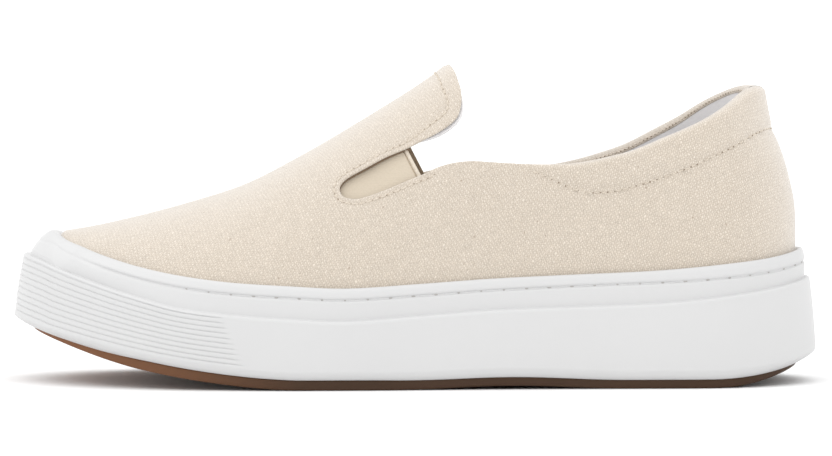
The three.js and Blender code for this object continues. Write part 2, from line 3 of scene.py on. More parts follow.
import bmesh
import bpy
import numpy as np
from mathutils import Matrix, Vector


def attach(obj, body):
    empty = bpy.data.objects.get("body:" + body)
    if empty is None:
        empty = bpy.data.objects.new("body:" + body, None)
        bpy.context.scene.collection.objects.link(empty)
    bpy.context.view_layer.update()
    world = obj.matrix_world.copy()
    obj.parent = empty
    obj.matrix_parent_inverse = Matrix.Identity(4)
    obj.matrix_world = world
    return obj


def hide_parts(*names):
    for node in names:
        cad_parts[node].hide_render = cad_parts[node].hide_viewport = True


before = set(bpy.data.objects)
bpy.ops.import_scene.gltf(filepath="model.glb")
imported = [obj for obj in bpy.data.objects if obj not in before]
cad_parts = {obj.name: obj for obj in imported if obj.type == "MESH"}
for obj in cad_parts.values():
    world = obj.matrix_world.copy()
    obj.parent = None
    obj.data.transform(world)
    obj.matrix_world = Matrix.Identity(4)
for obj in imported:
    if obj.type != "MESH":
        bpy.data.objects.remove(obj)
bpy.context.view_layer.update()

# A left canvas slip-on sneaker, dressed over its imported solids. Sizes are in millimetres and MM turns them
# into metres. The toe points to -X and the outer side of the foot faces -Y.
MM = 0.001

# Driving sizes, as the solids have them
LAST_LENGTH = 272.5
BALL_WIDTH = 92
HEEL_HEIGHT = 108
INSTEP_HEIGHT = 115
TOE_ROUND_LENGTH = 60
HEEL_ROUND_LENGTH = 42
TOE_TIP_DEPTH = 6
TOE_SWING = 5
BACK_LEAN = 12
TOE_POWER = 2.5
ARCH_POWER = 2.1
CAP_POWER = 2.15
SOLE_HEIGHT = 48
SIDE_MARGIN = 8.3
TOE_MARGIN = 12
TOE_FULLNESS = 1.2
HEEL_MARGIN = 7.5
SOLE_LENGTH = LAST_LENGTH + TOE_MARGIN + HEEL_MARGIN
SOLE_TOE = -SOLE_LENGTH / 2
LAST_TOE = SOLE_TOE + TOE_MARGIN
OUTSOLE_THICKNESS = 3.7
OUTSOLE_EDGE_AT_ENDS = 1.4
OUTSOLE_INSET = 3.4
OUTSOLE_TAPER_AT_TOE = 50
OUTSOLE_TAPER_AT_HEEL = 36
TOE_SPRING = 18.6
TOE_BREAK_SHARE = 0.363
TOE_SPRING_POWER = 1.65
HEEL_SPRING = 6.8
HEEL_BREAK_SHARE = 0.86
ARCH_HEIGHT = 1.2
ARCH_START_SHARE = 0.47
ARCH_END_SHARE = 0.76
BEVEL_IN = 2
BEVEL_IN_AT_ENDS = 6.5
BEVEL_UP = 3
BEAD_HEIGHT = 4.2
BEAD_WIDTH = 2.8
BEAD_WIDTH_AT_TOE = 5.6
TIER_BULGE_DEPTH = 0.3
TIER_BULGE_DEPTH_AT_TOE = 1.7
LEDGE_INSET = 2.4
LEDGE_INSET_AT_TOE = 3.6
UPPER_TIER_INSET = 4.3
UPPER_TIER_INSET_AT_TOE = 6.2
RIB_COUNT = 10
RIB_PITCH = 2.18
RIB_DEPTH = 0.45
RIB_ROWS = 10
RIB_FIRST_ROW = 7
RIB_LADDER_ROWS = 102
BELOW_RIBS = 200
RIB_NARROWING = 0.88
RIB_END_X = -68.4
RIB_END_SLANT = 0.83
RIB_RUN_OUT = 1.8
GROOVE_DEPTH = 0.55
BEAD_DROP_AT_HEEL = 0.9
BEAD_REACH_AT_TIP = 0.59
SKIRT = 0.5
SHOULDER = 1.3
OUTSOLE_ROUND = 0.7
CAD_STATION_STEP = 1 / 30
WALL_THICKNESS = 2
INSOLE_THICKNESS = 4
PAD_OUTWARD = 1.1
PAD_OUTWARD_AT_HEEL = 0.5
PAD_INWARD = 5.2

# How finely the surfaces are divided
COLUMNS = 330
ROWS = 92
ROUND_SOLE = 440
RIB_ROW_STEP = 1
TREAD_ACROSS = 90


def table(names, rows):
    """Named columns of a table, each as an array."""
    return {name: np.array(column, float) for name, column in zip(names.split(), zip(*rows))}


LAST_SECTIONS = table("along lateral medial top", [
    (0, 0.402, 0.435, 0.466), (0.07, 0.427, 0.457, 0.492), (0.136, 0.449, 0.475, 0.526),
    (0.198, 0.471, 0.491, 0.57), (0.264, 0.491, 0.5, 0.624), (0.327, 0.5, 0.483, 0.699),
    (0.418, 0.489, 0.433, 0.817), (0.477, 0.471, 0.402, 0.903), (0.522, 0.455, 0.385, 0.979),
    (0.565, 0.44, 0.372, 1.061), (0.62, 0.424, 0.362, 1.157), (0.694, 0.407, 0.359, 1.235),
    (0.804, 0.391, 0.373, 1.27), (1, 0.37, 0.37, 1.28),
])

SOLE_LINES = table("along ledge rim seat", [
    (0, 0.985, 1.144, 0.646), (0.036, 0.923, 1.144, 0.622), (0.05, 0.891, 1.128, 0.611),
    (0.065, 0.858, 1.075, 0.598), (0.091, 0.806, 1.02, 0.575), (0.12, 0.75, 0.963, 0.55),
    (0.164, 0.674, 0.893, 0.517), (0.212, 0.602, 0.837, 0.488), (0.274, 0.556, 0.79, 0.463),
    (0.346, 0.525, 0.764, 0.45), (0.414, 0.508, 0.747, 0.454), (0.5, 0.544, 0.777, 0.488),
    (0.592, 0.585, 0.815, 0.533), (0.688, 0.606, 0.842, 0.579), (0.791, 0.629, 0.87, 0.625),
    (0.877, 0.679, 0.916, 0.658), (0.945, 0.739, 0.966, 0.679), (1, 0.812, 1.042, 0.688),
])

COLLAR_LINES = table("along instep heel lift seam padding", [
    (0.503, 0.664, 0, -0.008, 0.7, 0), (0.518, 0.682, 0, -0.018, 0.71, 0),
    (0.54, 0.697, 0, -0.018, 0.72, 0), (0.565, 0.703, 0, -0.018, 0.73, 0),
    (0.591, 0.6, 0.106, -0.018, 0.728, 0), (0.633, 0.4, 0.313, -0.017, 0.722, 0.15),
    (0.672, 0.2, 0.525, -0.014, 0.683, 0.6), (0.705, 0, 0.745, -0.004, 0.648, 0.9),
    (0.741, 0, 0.763, 0.004, 0.644, 1), (0.778, 0, 0.788, 0.012, 0.663, 1),
    (0.818, 0, 0.83, 0.022, 0.695, 1), (0.853, 0, 0.867, 0.032, 0.728, 1),
    (0.886, 0, 0.907, 0.042, 0.766, 1), (0.915, 0, 0.951, 0.032, 0.8, 1),
    (0.94, 0, 0.99, 0.012, 0.834, 1), (0.96, 0, 1, 0, 0.85, 1), (1.02, 0, 1, 0, 0.85, 1),
])

THROAT_LINE = table("along height", [
    (0.524, 1.035), (0.54, 0.992), (0.5475, 0.95), (0.553, 0.917), (0.555, 0.88), (0.552, 0.843),
    (0.543, 0.815), (0.5295, 0.791), (0.5155, 0.773), (0.498, 0.757), (0.4715, 0.7315), (0.451, 0.711),
    (0.425, 0.678), (0.402, 0.6487), (0.3925, 0.626), (0.3925, 0.605), (0.3985, 0.5905), (0.411, 0.5858),
    (0.4225, 0.5895), (0.4435, 0.606), (0.462, 0.6235), (0.485, 0.647),
])

BACK_LINES = table("height inward", [
    (0.54, 0), (0.6, 0.035), (0.65, 0.117), (0.724, 0.283), (0.781, 0.45), (0.815, 0.575), (0.845, 0.7),
    (0.88, 0.795), (0.93, 0.89), (1, 1), (1.4, 1.55),
])


def mix(a, b, share):
    return a + (b - a) * share


def bell(x):
    return np.exp(-x ** 2)


def ease(x, low, high):
    t = np.clip((x - low) / (high - low), 0, 1)
    return t * t * (3 - 2 * t)


def read(rows, column, place, first="along"):
    """One column of a table at a place along its first column, on a smooth curve through its rows."""
    x, y = rows[first], rows[column]
    at = np.clip(place, x[0], x[-1])
    i = np.clip(np.searchsorted(x, at) - 1, 0, len(x) - 2)
    steep = np.diff(y) / np.diff(x)
    slope = np.concatenate([steep[:1], (y[2:] - y[:-2]) / (x[2:] - x[:-2]), steep[-1:]])
    span = x[i + 1] - x[i]
    t = (at - x[i]) / span
    bend = slope[i] * t * (1 - t) ** 2 - slope[i + 1] * t * t * (1 - t)
    return mix(y[i], y[i + 1], t * t * (3 - 2 * t)) + span * bend


def rounded(trip):
    """Places from 0 to 1 and back that crowd together at both ends."""
    return (1 - np.cos(math.pi * trip)) / 2


def along_last(x):
    return (x - LAST_TOE) / LAST_LENGTH


def along_sole(x):
    return np.clip((x - SOLE_TOE) / SOLE_LENGTH, 0, 1)


def sole_line(column, x):
    return SOLE_HEIGHT * read(SOLE_LINES, column, along_sole(x))


def cup_bottom(x):
    along = along_sole(x)
    toe = TOE_SPRING * np.maximum(0, 1 - along / TOE_BREAK_SHARE) ** TOE_SPRING_POWER
    heel = HEEL_SPRING * np.maximum(0, (along - HEEL_BREAK_SHARE) / (1 - HEEL_BREAK_SHARE)) ** 2
    share = np.clip((along - ARCH_START_SHARE) / (ARCH_END_SHARE - ARCH_START_SHARE), 0, 1)
    return OUTSOLE_THICKNESS + toe + heel + ARCH_HEIGHT * np.sin(math.pi * share) ** 2


def tread_height(x):
    from_toe = ease(x - SOLE_TOE, 0, OUTSOLE_TAPER_AT_TOE)
    from_heel = ease(SOLE_TOE + SOLE_LENGTH - x, 0, OUTSOLE_TAPER_AT_HEEL)
    return cup_bottom(x) - mix(OUTSOLE_EDGE_AT_ENDS, OUTSOLE_THICKNESS, from_toe * from_heel)


def round_end(distance, length):
    share = np.clip(1 - distance / length, 0, 1)
    return (1 - share ** CAP_POWER) ** (1 / CAP_POWER)


def last_section(along, side):
    """Half width, ridge, seat, middle line and power of the last at a share of its length."""
    x = LAST_TOE + along * LAST_LENGTH
    from_toe = along * LAST_LENGTH
    ends = round_end(from_toe, TOE_ROUND_LENGTH) * round_end(LAST_LENGTH - from_toe, HEEL_ROUND_LENGTH)
    width = np.where(side < 0, read(LAST_SECTIONS, "lateral", along), read(LAST_SECTIONS, "medial", along))
    seat = sole_line("seat", x)
    top = INSTEP_HEIGHT * read(LAST_SECTIONS, "top", along)
    toe_share = 1 - ease(from_toe, 0, TOE_ROUND_LENGTH)
    return {
        "x": x,
        "seat": seat,
        "half": BALL_WIDTH * width * ends,
        "top": seat + (top - seat) * round_end(from_toe, TOE_TIP_DEPTH),
        "middle": TOE_SWING * toe_share,
        "power": mix(ARCH_POWER, TOE_POWER, toe_share),
    }


def lean_at(along, height):
    inward = read(BACK_LINES, "inward", height / HEEL_HEIGHT, "height")
    return -BACK_LEAN * inward * ease(along, 0.7, 1)


def last_point(along, side, turn):
    """Points of the last, turn 0 at the seat and 1 on the ridge."""
    s = last_section(along, side)
    angle = turn * math.pi / 2
    z = s["seat"] + (s["top"] - s["seat"]) * np.sin(angle) ** (2 / s["power"])
    y = s["middle"] + side * s["half"] * np.maximum(0, np.cos(angle)) ** (2 / s["power"])
    return np.stack([s["x"] + lean_at(along, z), y, z], axis=-1)


def last_height(x, y):
    along = np.clip(along_last(x), 0, 1)
    middle = last_section(along, -1)["middle"]
    s = last_section(along, np.where(y < middle, -1, 1))
    share = np.clip(np.abs(y - middle) / np.maximum(s["half"], 1e-6), 0, 1)
    return s["seat"] + (s["top"] - s["seat"]) * (1 - share ** s["power"]) ** (1 / s["power"])


def topline_height(x, side):
    along = along_last(x)
    front = INSTEP_HEIGHT * read(COLLAR_LINES, "instep", along)
    back = HEEL_HEIGHT * read(COLLAR_LINES, "heel", along)
    lift = np.where(side > 0, HEEL_HEIGHT * read(COLLAR_LINES, "lift", along), 0)
    return front + back + lift


def seam_height(x):
    return HEEL_HEIGHT * read(COLLAR_LINES, "seam", along_last(x))


def padding_at(x):
    return np.clip(read(COLLAR_LINES, "padding", along_last(x)), 0, 1)


def unit(v):
    return v / np.maximum(np.linalg.norm(v, axis=-1, keepdims=True), 1e-9)


def run_length(points, axis):
    """How far each point lies along its own line of a grid."""
    step = np.diff(points, axis=axis, prepend=np.take(points, [0], axis))
    return np.cumsum(np.linalg.norm(step, axis=-1), axis=axis)


def smooth_line(points, steps):
    """A smooth curve through the points, with some steps between each two."""
    padded = np.vstack([2 * points[0] - points[1], points, 2 * points[-1] - points[-2]])
    t = np.linspace(0, 1, steps, endpoint=False)[:, None]
    pieces = []
    for a, b, c, d in zip(padded, padded[1:], padded[2:], padded[3:]):
        pieces.append(0.5 * (2 * b + (c - a) * t + (2 * a - 5 * b + 4 * c - d) * t ** 2
                             + (3 * b - a - 3 * c + d) * t ** 3))
    return np.vstack(pieces + [points[-1:]])


def opening_line(side):
    """The edge of the foot's opening seen from the side, from the flap's tip to past the heel."""
    x = LAST_TOE + LAST_LENGTH * THROAT_LINE["along"]
    throat = np.stack([x, INSTEP_HEIGHT * THROAT_LINE["height"]], axis=1)
    top_x = np.linspace(LAST_TOE + LAST_LENGTH * COLLAR_LINES["along"][0], LAST_TOE + 1.2 * LAST_LENGTH, 150)
    topline = np.stack([top_x, topline_height(top_x, side)], axis=1)
    front = smooth_line(np.vstack([throat, topline[:1]]), 8)
    return np.vstack([front, topline[1:]])


def edge_distance(x, z, side):
    """Distance from the opening's edge in the side view, positive in the material."""
    line = opening_line(side)
    p = np.stack([x.ravel(), z.ravel()], axis=1)
    nearest = np.full(len(p), 1e9)
    for a, b in zip(line, line[1:]):
        ab = b - a
        t = np.clip(((p - a) @ ab) / (ab @ ab), 0, 1)
        nearest = np.minimum(nearest, np.hypot(*(p - a - t[:, None] * ab).T))
    ring = np.vstack([line, [line[-1, 0], 400], [line[0, 0], 400]])
    inside = np.zeros(len(p), bool)
    for a, b in zip(ring, np.roll(ring, -1, axis=0)):
        crosses = (a[1] > p[:, 1]) != (b[1] > p[:, 1])
        with np.errstate(divide="ignore", invalid="ignore"):
            at = a[0] + (p[:, 1] - a[1]) * (b[0] - a[0]) / (b[1] - a[1])
        inside ^= crosses & (p[:, 0] < at)
    return np.where(inside, -nearest, nearest).reshape(x.shape)


class Skin:
    """A fine grid over the last, from the toe to the heel and from the lateral seat over the ridge."""

    def __init__(self, columns, rows):
        k = np.arange(-rows, rows + 1)
        ones = np.ones((columns + 1, len(k)))
        self.side = np.where(k <= 0, -1, 1) * ones
        self.along = rounded(np.linspace(0.02, 1, columns + 1))[:, None] * ones
        self.point = last_point(self.along, self.side, (1 - np.abs(k) / rows) * ones)
        self.x, self.z = self.point[..., 0], self.point[..., 2]
        self.pi, self.pk = np.gradient(self.point, axis=(0, 1))
        normal = np.cross(self.pi, self.pk)
        normal[-1, :, 1] = 0
        self.normal = unit(normal)
        u, v = run_length(self.point, 0), run_length(self.point, 1)
        self.uv = np.stack([u - u[columns // 2], v - v[:, rows:rows + 1]], axis=-1)
        gap = np.where(self.side < 0, *(edge_distance(self.x, self.z, side) for side in (-1, 1)))
        slope = self.gradient(gap)
        self.edge = gap / np.maximum(np.linalg.norm(slope, axis=-1), 0.3)
        self.toward = -unit(slope)

    def gradient(self, field):
        """The gradient of a field along the surface."""
        di, dk = np.gradient(field)
        e = (self.pi ** 2).sum(-1)
        f = (self.pi * self.pk).sum(-1)
        g = (self.pk ** 2).sum(-1)
        det = np.maximum(e * g - f * f, 1e-9)
        a = (g * di - f * dk) / det
        b = (e * dk - f * di) / det
        return a[..., None] * self.pi + b[..., None] * self.pk

    def packed(self, *fields):
        """The surface's own fields in columns 0 to 10 and some more from 11 on, for cutting."""
        more = [field[..., None] for field in fields]
        return np.concatenate([self.point, self.normal, self.toward, self.uv, *more], axis=-1)


def quads(node):
    """Faces between the rows and columns of a grid of point numbers."""
    return np.stack([node[:-1, :-1], node[1:, :-1], node[1:, 1:], node[:-1, 1:]], axis=-1).reshape(-1, 4)


def round_quads(node):
    """Faces between rings of point numbers that close on themselves."""
    return list(quads(np.column_stack([node, node[:, 0]]))[:, ::-1])


def cut_grid(field, values):
    """Cuts a grid where a field falls below zero. Returns node values, faces and the cut's segments."""
    flat = values.reshape(-1, values.shape[-1])
    f = field.ravel()
    keep = f >= 0
    corners = quads(np.arange(f.size).reshape(field.shape))
    count = keep[corners].sum(axis=1)
    faces = list(corners[count == 4])
    extra, segments, made = [], [], {}

    def crossing(a, b):
        key = (min(a, b), max(a, b))
        if key not in made:
            t = f[key[0]] / (f[key[0]] - f[key[1]])
            made[key] = len(flat) + len(extra)
            extra.append(mix(flat[key[0]], flat[key[1]], t))
        return made[key]

    for quad in corners[(count > 0) & (count < 4)]:
        polygon, cuts = [], []
        for a, b in zip(quad, np.roll(quad, -1)):
            if keep[a]:
                polygon.append(a)
            if keep[a] != keep[b]:
                polygon.append(crossing(a, b))
                cuts.append((polygon[-1], keep[a]))
        faces.append(polygon)
        if len(cuts) == 2:
            (first, leaving), (second, _) = cuts
            segments.append((first, second) if leaving else (second, first))
    return np.vstack([flat, *extra]), faces, segments


def add_object(name, data):
    obj = bpy.data.objects.new(name, data)
    bpy.context.scene.collection.objects.link(obj)
    return obj


def new_object(name, points, faces, uv=None, attributes=None):
    """A smooth mesh object from points in millimetres. Points that no face uses are left out."""
    corners = np.concatenate(faces)
    used, renumbered = np.unique(corners, return_inverse=True)
    polygons = np.split(renumbered, np.cumsum([len(face) for face in faces])[:-1])
    mesh = bpy.data.meshes.new(name)
    places = np.asarray(points)[used] * MM
    mesh.from_pydata(places.tolist(), [], [polygon.tolist() for polygon in polygons])
    if uv is not None:
        mesh.uv_layers.new(name="UVMap").data.foreach_set("uv", uv[corners].astype(np.float32).ravel())
    for key, values in (attributes or {}).items():
        mesh.attributes.new(key, "FLOAT", "POINT").data.foreach_set("value", values[used].astype(np.float32))
    mesh.shade_smooth()
    return add_object(name, mesh)


def weld(obj):
    """Joins points that share a place, as along the back of the heel."""
    bm = bmesh.new()
    bm.from_mesh(obj.data)
    bmesh.ops.remove_doubles(bm, verts=bm.verts, dist=0.02 * MM)
    bm.to_mesh(obj.data)
    bm.free()


def trimmed_shell(name, skin, field, near, far, radius, until, tuck, attributes, hem=0.0):
    """A layer of the upper: a skin cut along a field, whose edge rolls over to its far side and tucks in."""
    packed = skin.packed(near, far, radius, until, tuck, *attributes.values())
    nodes, faces, segments = cut_grid(field, packed)
    point, normal, toward = nodes[:, :3], unit(nodes[:, 3:6]), unit(nodes[:, 6:9])
    toward = unit(toward - (toward * normal).sum(-1, keepdims=True) * normal)
    near, far, radius, until, tuck = (nodes[:, column:column + 1] for column in range(11, 16))
    if near.mean() < far.mean():
        faces = [face[::-1] for face in faces]
        segments = [segment[::-1] for segment in segments]
    places, uvs = [point + near * normal], [nodes[:, 9:11]]
    edge = np.unique(segments)
    a, b = np.searchsorted(edge, segments).T
    normal, toward, middle, half = (v[edge] for v in (normal, toward, (near + far) / 2, (near - far) / 2))
    place, walked, ring = places[0][edge], 0, edge
    for turn in range(1, EDGE_TURNS + 3):
        before, inner = place, ring
        if turn <= EDGE_TURNS:
            angle = math.pi * until[edge] * turn / EDGE_TURNS
            place = point[edge] + (middle + half * np.cos(angle)) * normal
            place = place + radius[edge] * np.sin(angle) * toward
        elif turn == EDGE_TURNS + 1:
            place = place - tuck[edge] * toward
        else:
            place = place + hem * np.sign(half) * normal
        walked = walked + np.linalg.norm(place - before, axis=1, keepdims=True)
        places.append(place)
        uvs.append(nodes[edge, 9:11] + walked * toward[:, [0, 2]])
        ring = len(nodes) + (turn - 1) * len(edge) + np.arange(len(edge))
        faces.extend(np.stack([inner[b], inner[a], ring[a], ring[b]], axis=1))
    stored = {key: np.concatenate([own, np.tile(own[edge], EDGE_TURNS + 2)])
              for key, own in zip(attributes, nodes[:, 16:].T)}
    around = np.repeat(np.arange(1, EDGE_TURNS + 3) / EDGE_TURNS, len(edge))
    stored["roll"] = np.concatenate([np.zeros(len(nodes)), around])
    obj = new_object(name, np.vstack(places), faces, np.vstack(uvs) * MM, stored)
    weld(obj)
    return obj


def contour(skin, field, keep, *fields):
    """Lines on the surface where a field is zero and another is positive, as lists of packed values."""
    nodes, _, segments = cut_grid(field, skin.packed(keep, *fields))
    links = {}
    for a, b in segments:
        links.setdefault(a, []).append(b)
        links.setdefault(b, []).append(a)
    kept, seen = [], set()
    for start in [n for n, near in links.items() if len(near) == 1] + list(links):
        line, ahead = [], [start] if start not in seen else []
        while ahead:
            line.append(ahead[0])
            seen.add(ahead[0])
            ahead = [n for n in links[ahead[0]] if n not in seen]
        if line:
            values = nodes[line]
            runs = np.split(values, np.flatnonzero(np.diff(values[:, 11] > 0)) + 1)
            kept += [run for run in runs if run[0, 11] > 0 and len(run) > 6]
    return kept


def resample(points, pitch):
    """Evenly spaced values along a line of packed values, by the length of its first three."""
    length = run_length(points[:, :3], 0)
    at = np.arange(0, length[-1], pitch)
    return np.stack([np.interp(at, length, points[:, c]) for c in range(points.shape[1])], axis=1)


def stitch_row(places, normals, length, radius, lift):
    """Short rounded threads, each laid along the row and dipping at both ends."""
    share = np.linspace(-1, 1, 7)[:, None]
    angle = np.linspace(0, 2 * math.pi, 8, endpoint=False)[:, None]
    thick = radius * np.maximum(np.sqrt(1 - share ** 4), 0.15)
    rise = lift - 0.9 * radius * share ** 4
    node = np.arange(len(share) * len(angle)).reshape(len(share), -1)
    thread = round_quads(node) + [node[0, ::-1], node[-1]]
    parts = []
    for a, b, normal in zip(places, places[1:], normals):
        run = unit(b - a)
        across = unit(np.cross(normal, run))
        up = np.cross(run, across)
        spine = (a + b) / 2 + 0.5 * length * share * run + rise * up
        ring = np.cos(angle) * across + np.sin(angle) * up
        parts.append(((spine[:, None] + thick[:, None] * ring).reshape(-1, 3), thread))
    return joined(parts)


def joined(parts):
    """One list of points and faces from several."""
    points, faces = [], []
    for more, shape in parts:
        faces.extend(np.asarray(face) + len(points) for face in shape)
        points.extend(more)
    return points, faces


def slab(front, back):
    """Points and faces of a thin piece between two grids: its front, its rim and then its back."""
    node = np.arange(front[..., 0].size).reshape(front.shape[:2])
    rim = np.concatenate([node[:, 0], node[-1, 1:], node[-2::-1, -1], node[0, -2:0:-1]])
    after = np.roll(rim, -1)
    walls = np.stack([rim, rim + node.size, after + node.size, after], axis=1)
    faces = [*quads(node), *walls, *(quads(node)[:, ::-1] + node.size)]
    return np.concatenate([front, back]).reshape(-1, 3), faces


# Materials
WEAVE_PITCH = 0.00073
WEAVE_TURN = 18


class Nodes:
    """A short way to build a node tree. Inputs are numbers, colours or the outputs of other nodes."""

    def __init__(self, owner):
        owner.use_nodes = True
        self.owner = owner
        self.tree = owner.node_tree
        self.tree.nodes.clear()

    def add(self, kind, inputs, output=0, **settings):
        node = self.tree.nodes.new(kind)
        for key, value in settings.items():
            setattr(node, key, value)
        for key, value in inputs.items():
            socket = node.inputs[key]
            if isinstance(value, bpy.types.NodeSocket):
                self.tree.links.new(value, socket)
            elif isinstance(value, tuple) and socket.type == "RGBA":
                socket.default_value = (*value, 1)
            elif value is not None:
                socket.default_value = value
        return node.outputs[output] if node.outputs else node

    def math(self, operation, *values):
        return self.add("ShaderNodeMath", dict(enumerate(values)), operation=operation)

    def times(self, a, b):
        return self.math("MULTIPLY", a, b)

    def clamped(self, value, low, high):
        return self.math("MINIMUM", self.math("MAXIMUM", value, low), high)

    def split(self, vector):
        return self.add("ShaderNodeSeparateXYZ", {0: vector}).node.outputs

    def attribute(self, name):
        return self.add("ShaderNodeAttribute", {}, "Fac", attribute_name=name)

    def noise(self, vector, scale, detail, roughness, output="Fac"):
        inputs = {"Vector": vector, "Scale": scale, "Detail": detail, "Roughness": roughness}
        return self.add("ShaderNodeTexNoise", inputs, output)

    def ramp(self, value, stops):
        colour = self.add("ShaderNodeValToRGB", {"Fac": value})
        elements = colour.node.color_ramp.elements
        while len(elements) < len(stops):
            elements.new(0.5)
        for element, (place, shade) in zip(elements, stops):
            element.position = place
            element.color = (*shade, 1)
        return colour

    def mix_colour(self, share, a, b, blend="MIX"):
        return self.add("ShaderNodeMix", {0: share, 6: a, 7: b}, 2, data_type="RGBA", blend_type=blend)

    def bump(self, height, distance, strength):
        return self.add("ShaderNodeBump", {"Distance": distance, "Strength": strength, "Height": height})

    def finish(self, colour, normal, **values):
        """The material with its surface, each even value on the shader's own socket."""
        inputs = {key.replace("_", " "): value for key, value in values.items()}
        inputs.update({"Base Color": colour, "Normal": normal})
        self.add("ShaderNodeOutputMaterial", {"Surface": self.add("ShaderNodeBsdfPrincipled", inputs)})
        return self.owner


def new_nodes(name):
    return Nodes(bpy.data.materials.new(name))


def weave_threads(n, vector, pitch):
    """Heights of the two sets of threads of a plain weave, which lie along both UV directions."""
    waves = [n.math("SINE", n.times(place, math.pi / pitch)) for place in n.split(vector)[:2]]
    product = n.times(waves[0], waves[1])
    warp = n.times(n.math("ADD", n.math("ABSOLUTE", waves[0]), product), 0.5)
    weft = n.times(n.math("SUBTRACT", n.math("ABSOLUTE", waves[1]), product), 0.5)
    return warp, weft


def wobbled_uv(n, scale, amount):
    """UV coordinates, and the same pushed about by a soft noise, as hand-laid cloth is."""
    uv = n.add("ShaderNodeUVMap", {}, uv_map="UVMap")
    noise = n.noise(uv, scale, 1.0, 0.5, "Color")
    centred = n.add("ShaderNodeVectorMath", {0: noise, 1: (0.5, 0.5, 0.5)}, operation="SUBTRACT")
    inputs = {0: centred, 1: (amount, amount, amount), 2: uv}
    return uv, n.add("ShaderNodeVectorMath", inputs, operation="MULTIPLY_ADD")


def thread_streaks(n, vector, across, along, axis):
    """Noise that is long in the direction of the threads, so each thread keeps its own shade for a while."""
    scale = (1 / across, 1 / along, 1) if axis == 0 else (1 / along, 1 / across, 1)
    return n.noise(n.add("ShaderNodeMapping", {"Vector": vector, "Scale": scale}), 1.0, 1.0, 0.5)


def canvas_material():
    n = new_nodes("natural_canvas")
    uv, pushed = wobbled_uv(n, 700, 0.0014)
    turned = n.add("ShaderNodeMapping", {"Vector": pushed, "Rotation": (0, 0, math.radians(WEAVE_TURN))})
    warp, weft = weave_threads(n, turned, WEAVE_PITCH)
    weave = n.math("MAXIMUM", warp, weft)
    over = n.math("SUBTRACT", warp, weft)
    warp_shade = thread_streaks(n, turned, 1.3 * WEAVE_PITCH, 0.004, 0)
    weft_shade = thread_streaks(n, turned, 1.3 * WEAVE_PITCH, 0.005, 1)
    shades = n.math("ADD", warp_shade, weft_shade)
    slub = n.noise(uv, 1100, 2.0, 0.6)
    bright = n.times(n.math("MAXIMUM", over, 0.0), n.math("MULTIPLY_ADD", slub, 1.8, -0.3))
    height = n.math("ADD", weave, n.times(slub, 0.8))
    height = n.math("ADD", height, n.times(shades, 0.7))
    # Painted shade: the thread ramp darkens the low gaps between threads. lit lightens the warp where it
    # lies over the weft, as painted highlight, more where the slub noise is high.
    thread = n.ramp(weave, [(0.0, (0.4, 0.33, 0.26)), (0.4, (0.53, 0.458, 0.376)),
                            (0.85, (0.585, 0.512, 0.425))])
    lit = n.mix_colour(n.math("MINIMUM", n.times(bright, 1.2), 0.85), thread, (0.77, 0.7, 0.61))
    streak = n.math("MULTIPLY_ADD", shades, 0.2, 0.81)
    grey = n.add("ShaderNodeCombineColor", {0: streak, 1: streak, 2: streak})
    colour = n.mix_colour(1.0, lit, grey, "MULTIPLY")
    patch = n.ramp(n.noise(uv, 42, 3.0, 0.55), [(0.3, (0.57, 0.49, 0.395)), (0.7, (0.72, 0.645, 0.555))])
    colour = n.mix_colour(0.08, colour, patch)
    speck = n.ramp(n.noise(uv, 430, 0.0, 0.4), [(0.83, (0, 0, 0)), (0.85, (1, 1, 1))])
    colour = n.mix_colour(n.times(speck, 0.5), colour, (0.27, 0.18, 0.12))
    # Painted shade: where the canvas edge rolls under, it turns dark brown, as far as the fold_shade mark
    # allows.
    under = n.times(n.math("SUBTRACT", n.attribute("roll"), 0.5), 3.2)
    under = n.times(n.clamped(under, 0.0, 0.6), n.attribute("fold_shade"))
    colour = n.mix_colour(under, colour, (0.16, 0.11, 0.075))
    return n.finish(colour, n.bump(height, 0.00013, 0.8), Roughness=0.92, Specular_IOR_Level=0.25,
                    Sheen_Weight=0.7, Sheen_Roughness=0.6)


def lining_material():
    n = new_nodes("pale_lining")
    weave = n.math("MAXIMUM", *weave_threads(n, wobbled_uv(n, 300, 0.0003)[1], 0.0005))
    # Painted shade: the ramp darkens the low gaps between threads.
    colour = n.ramp(weave, [(0.0, (0.68, 0.66, 0.665)), (0.6, (0.83, 0.815, 0.815))])
    return n.finish(colour, n.bump(weave, 0.00007, 0.6), Roughness=0.9, Specular_IOR_Level=0.25)


def elastic_material(name, low, high, hem_colour):
    n = new_nodes(name)
    uv, pushed = wobbled_uv(n, 200, 0.0002)
    rib = n.math("SINE", n.times(n.split(pushed)[1], 2 * math.pi / 0.0009))
    fine = n.noise(uv, 1500, 2.0, 0.6)
    height = n.math("ADD", n.times(rib, 0.5), n.times(fine, 0.6))
    colour = n.ramp(fine, [(0.25, low), (0.75, high)])
    colour = n.mix_colour(n.times(n.attribute("hem"), 0.7), colour, hem_colour)
    # Painted shade: darker brown along the fold line near the gusset's free end.
    colour = n.mix_colour(n.times(n.attribute("fold_line"), 0.6), colour, (0.33, 0.25, 0.17))
    return n.finish(colour, n.bump(height, 0.00004, 0.5), Roughness=0.75, Specular_IOR_Level=0.3,
                    Sheen_Weight=0.1)


def thread_material(name, colour):
    n = new_nodes(name)
    twist = n.noise(n.add("ShaderNodeTexCoord", {}, "Object"), 2600, 1.0, 0.5)
    shade = tuple(0.82 * c for c in colour)
    return n.finish(n.mix_colour(twist, shade, colour), n.bump(twist, 0.0001, 0.6), Roughness=0.8,
                    Specular_IOR_Level=0.3)


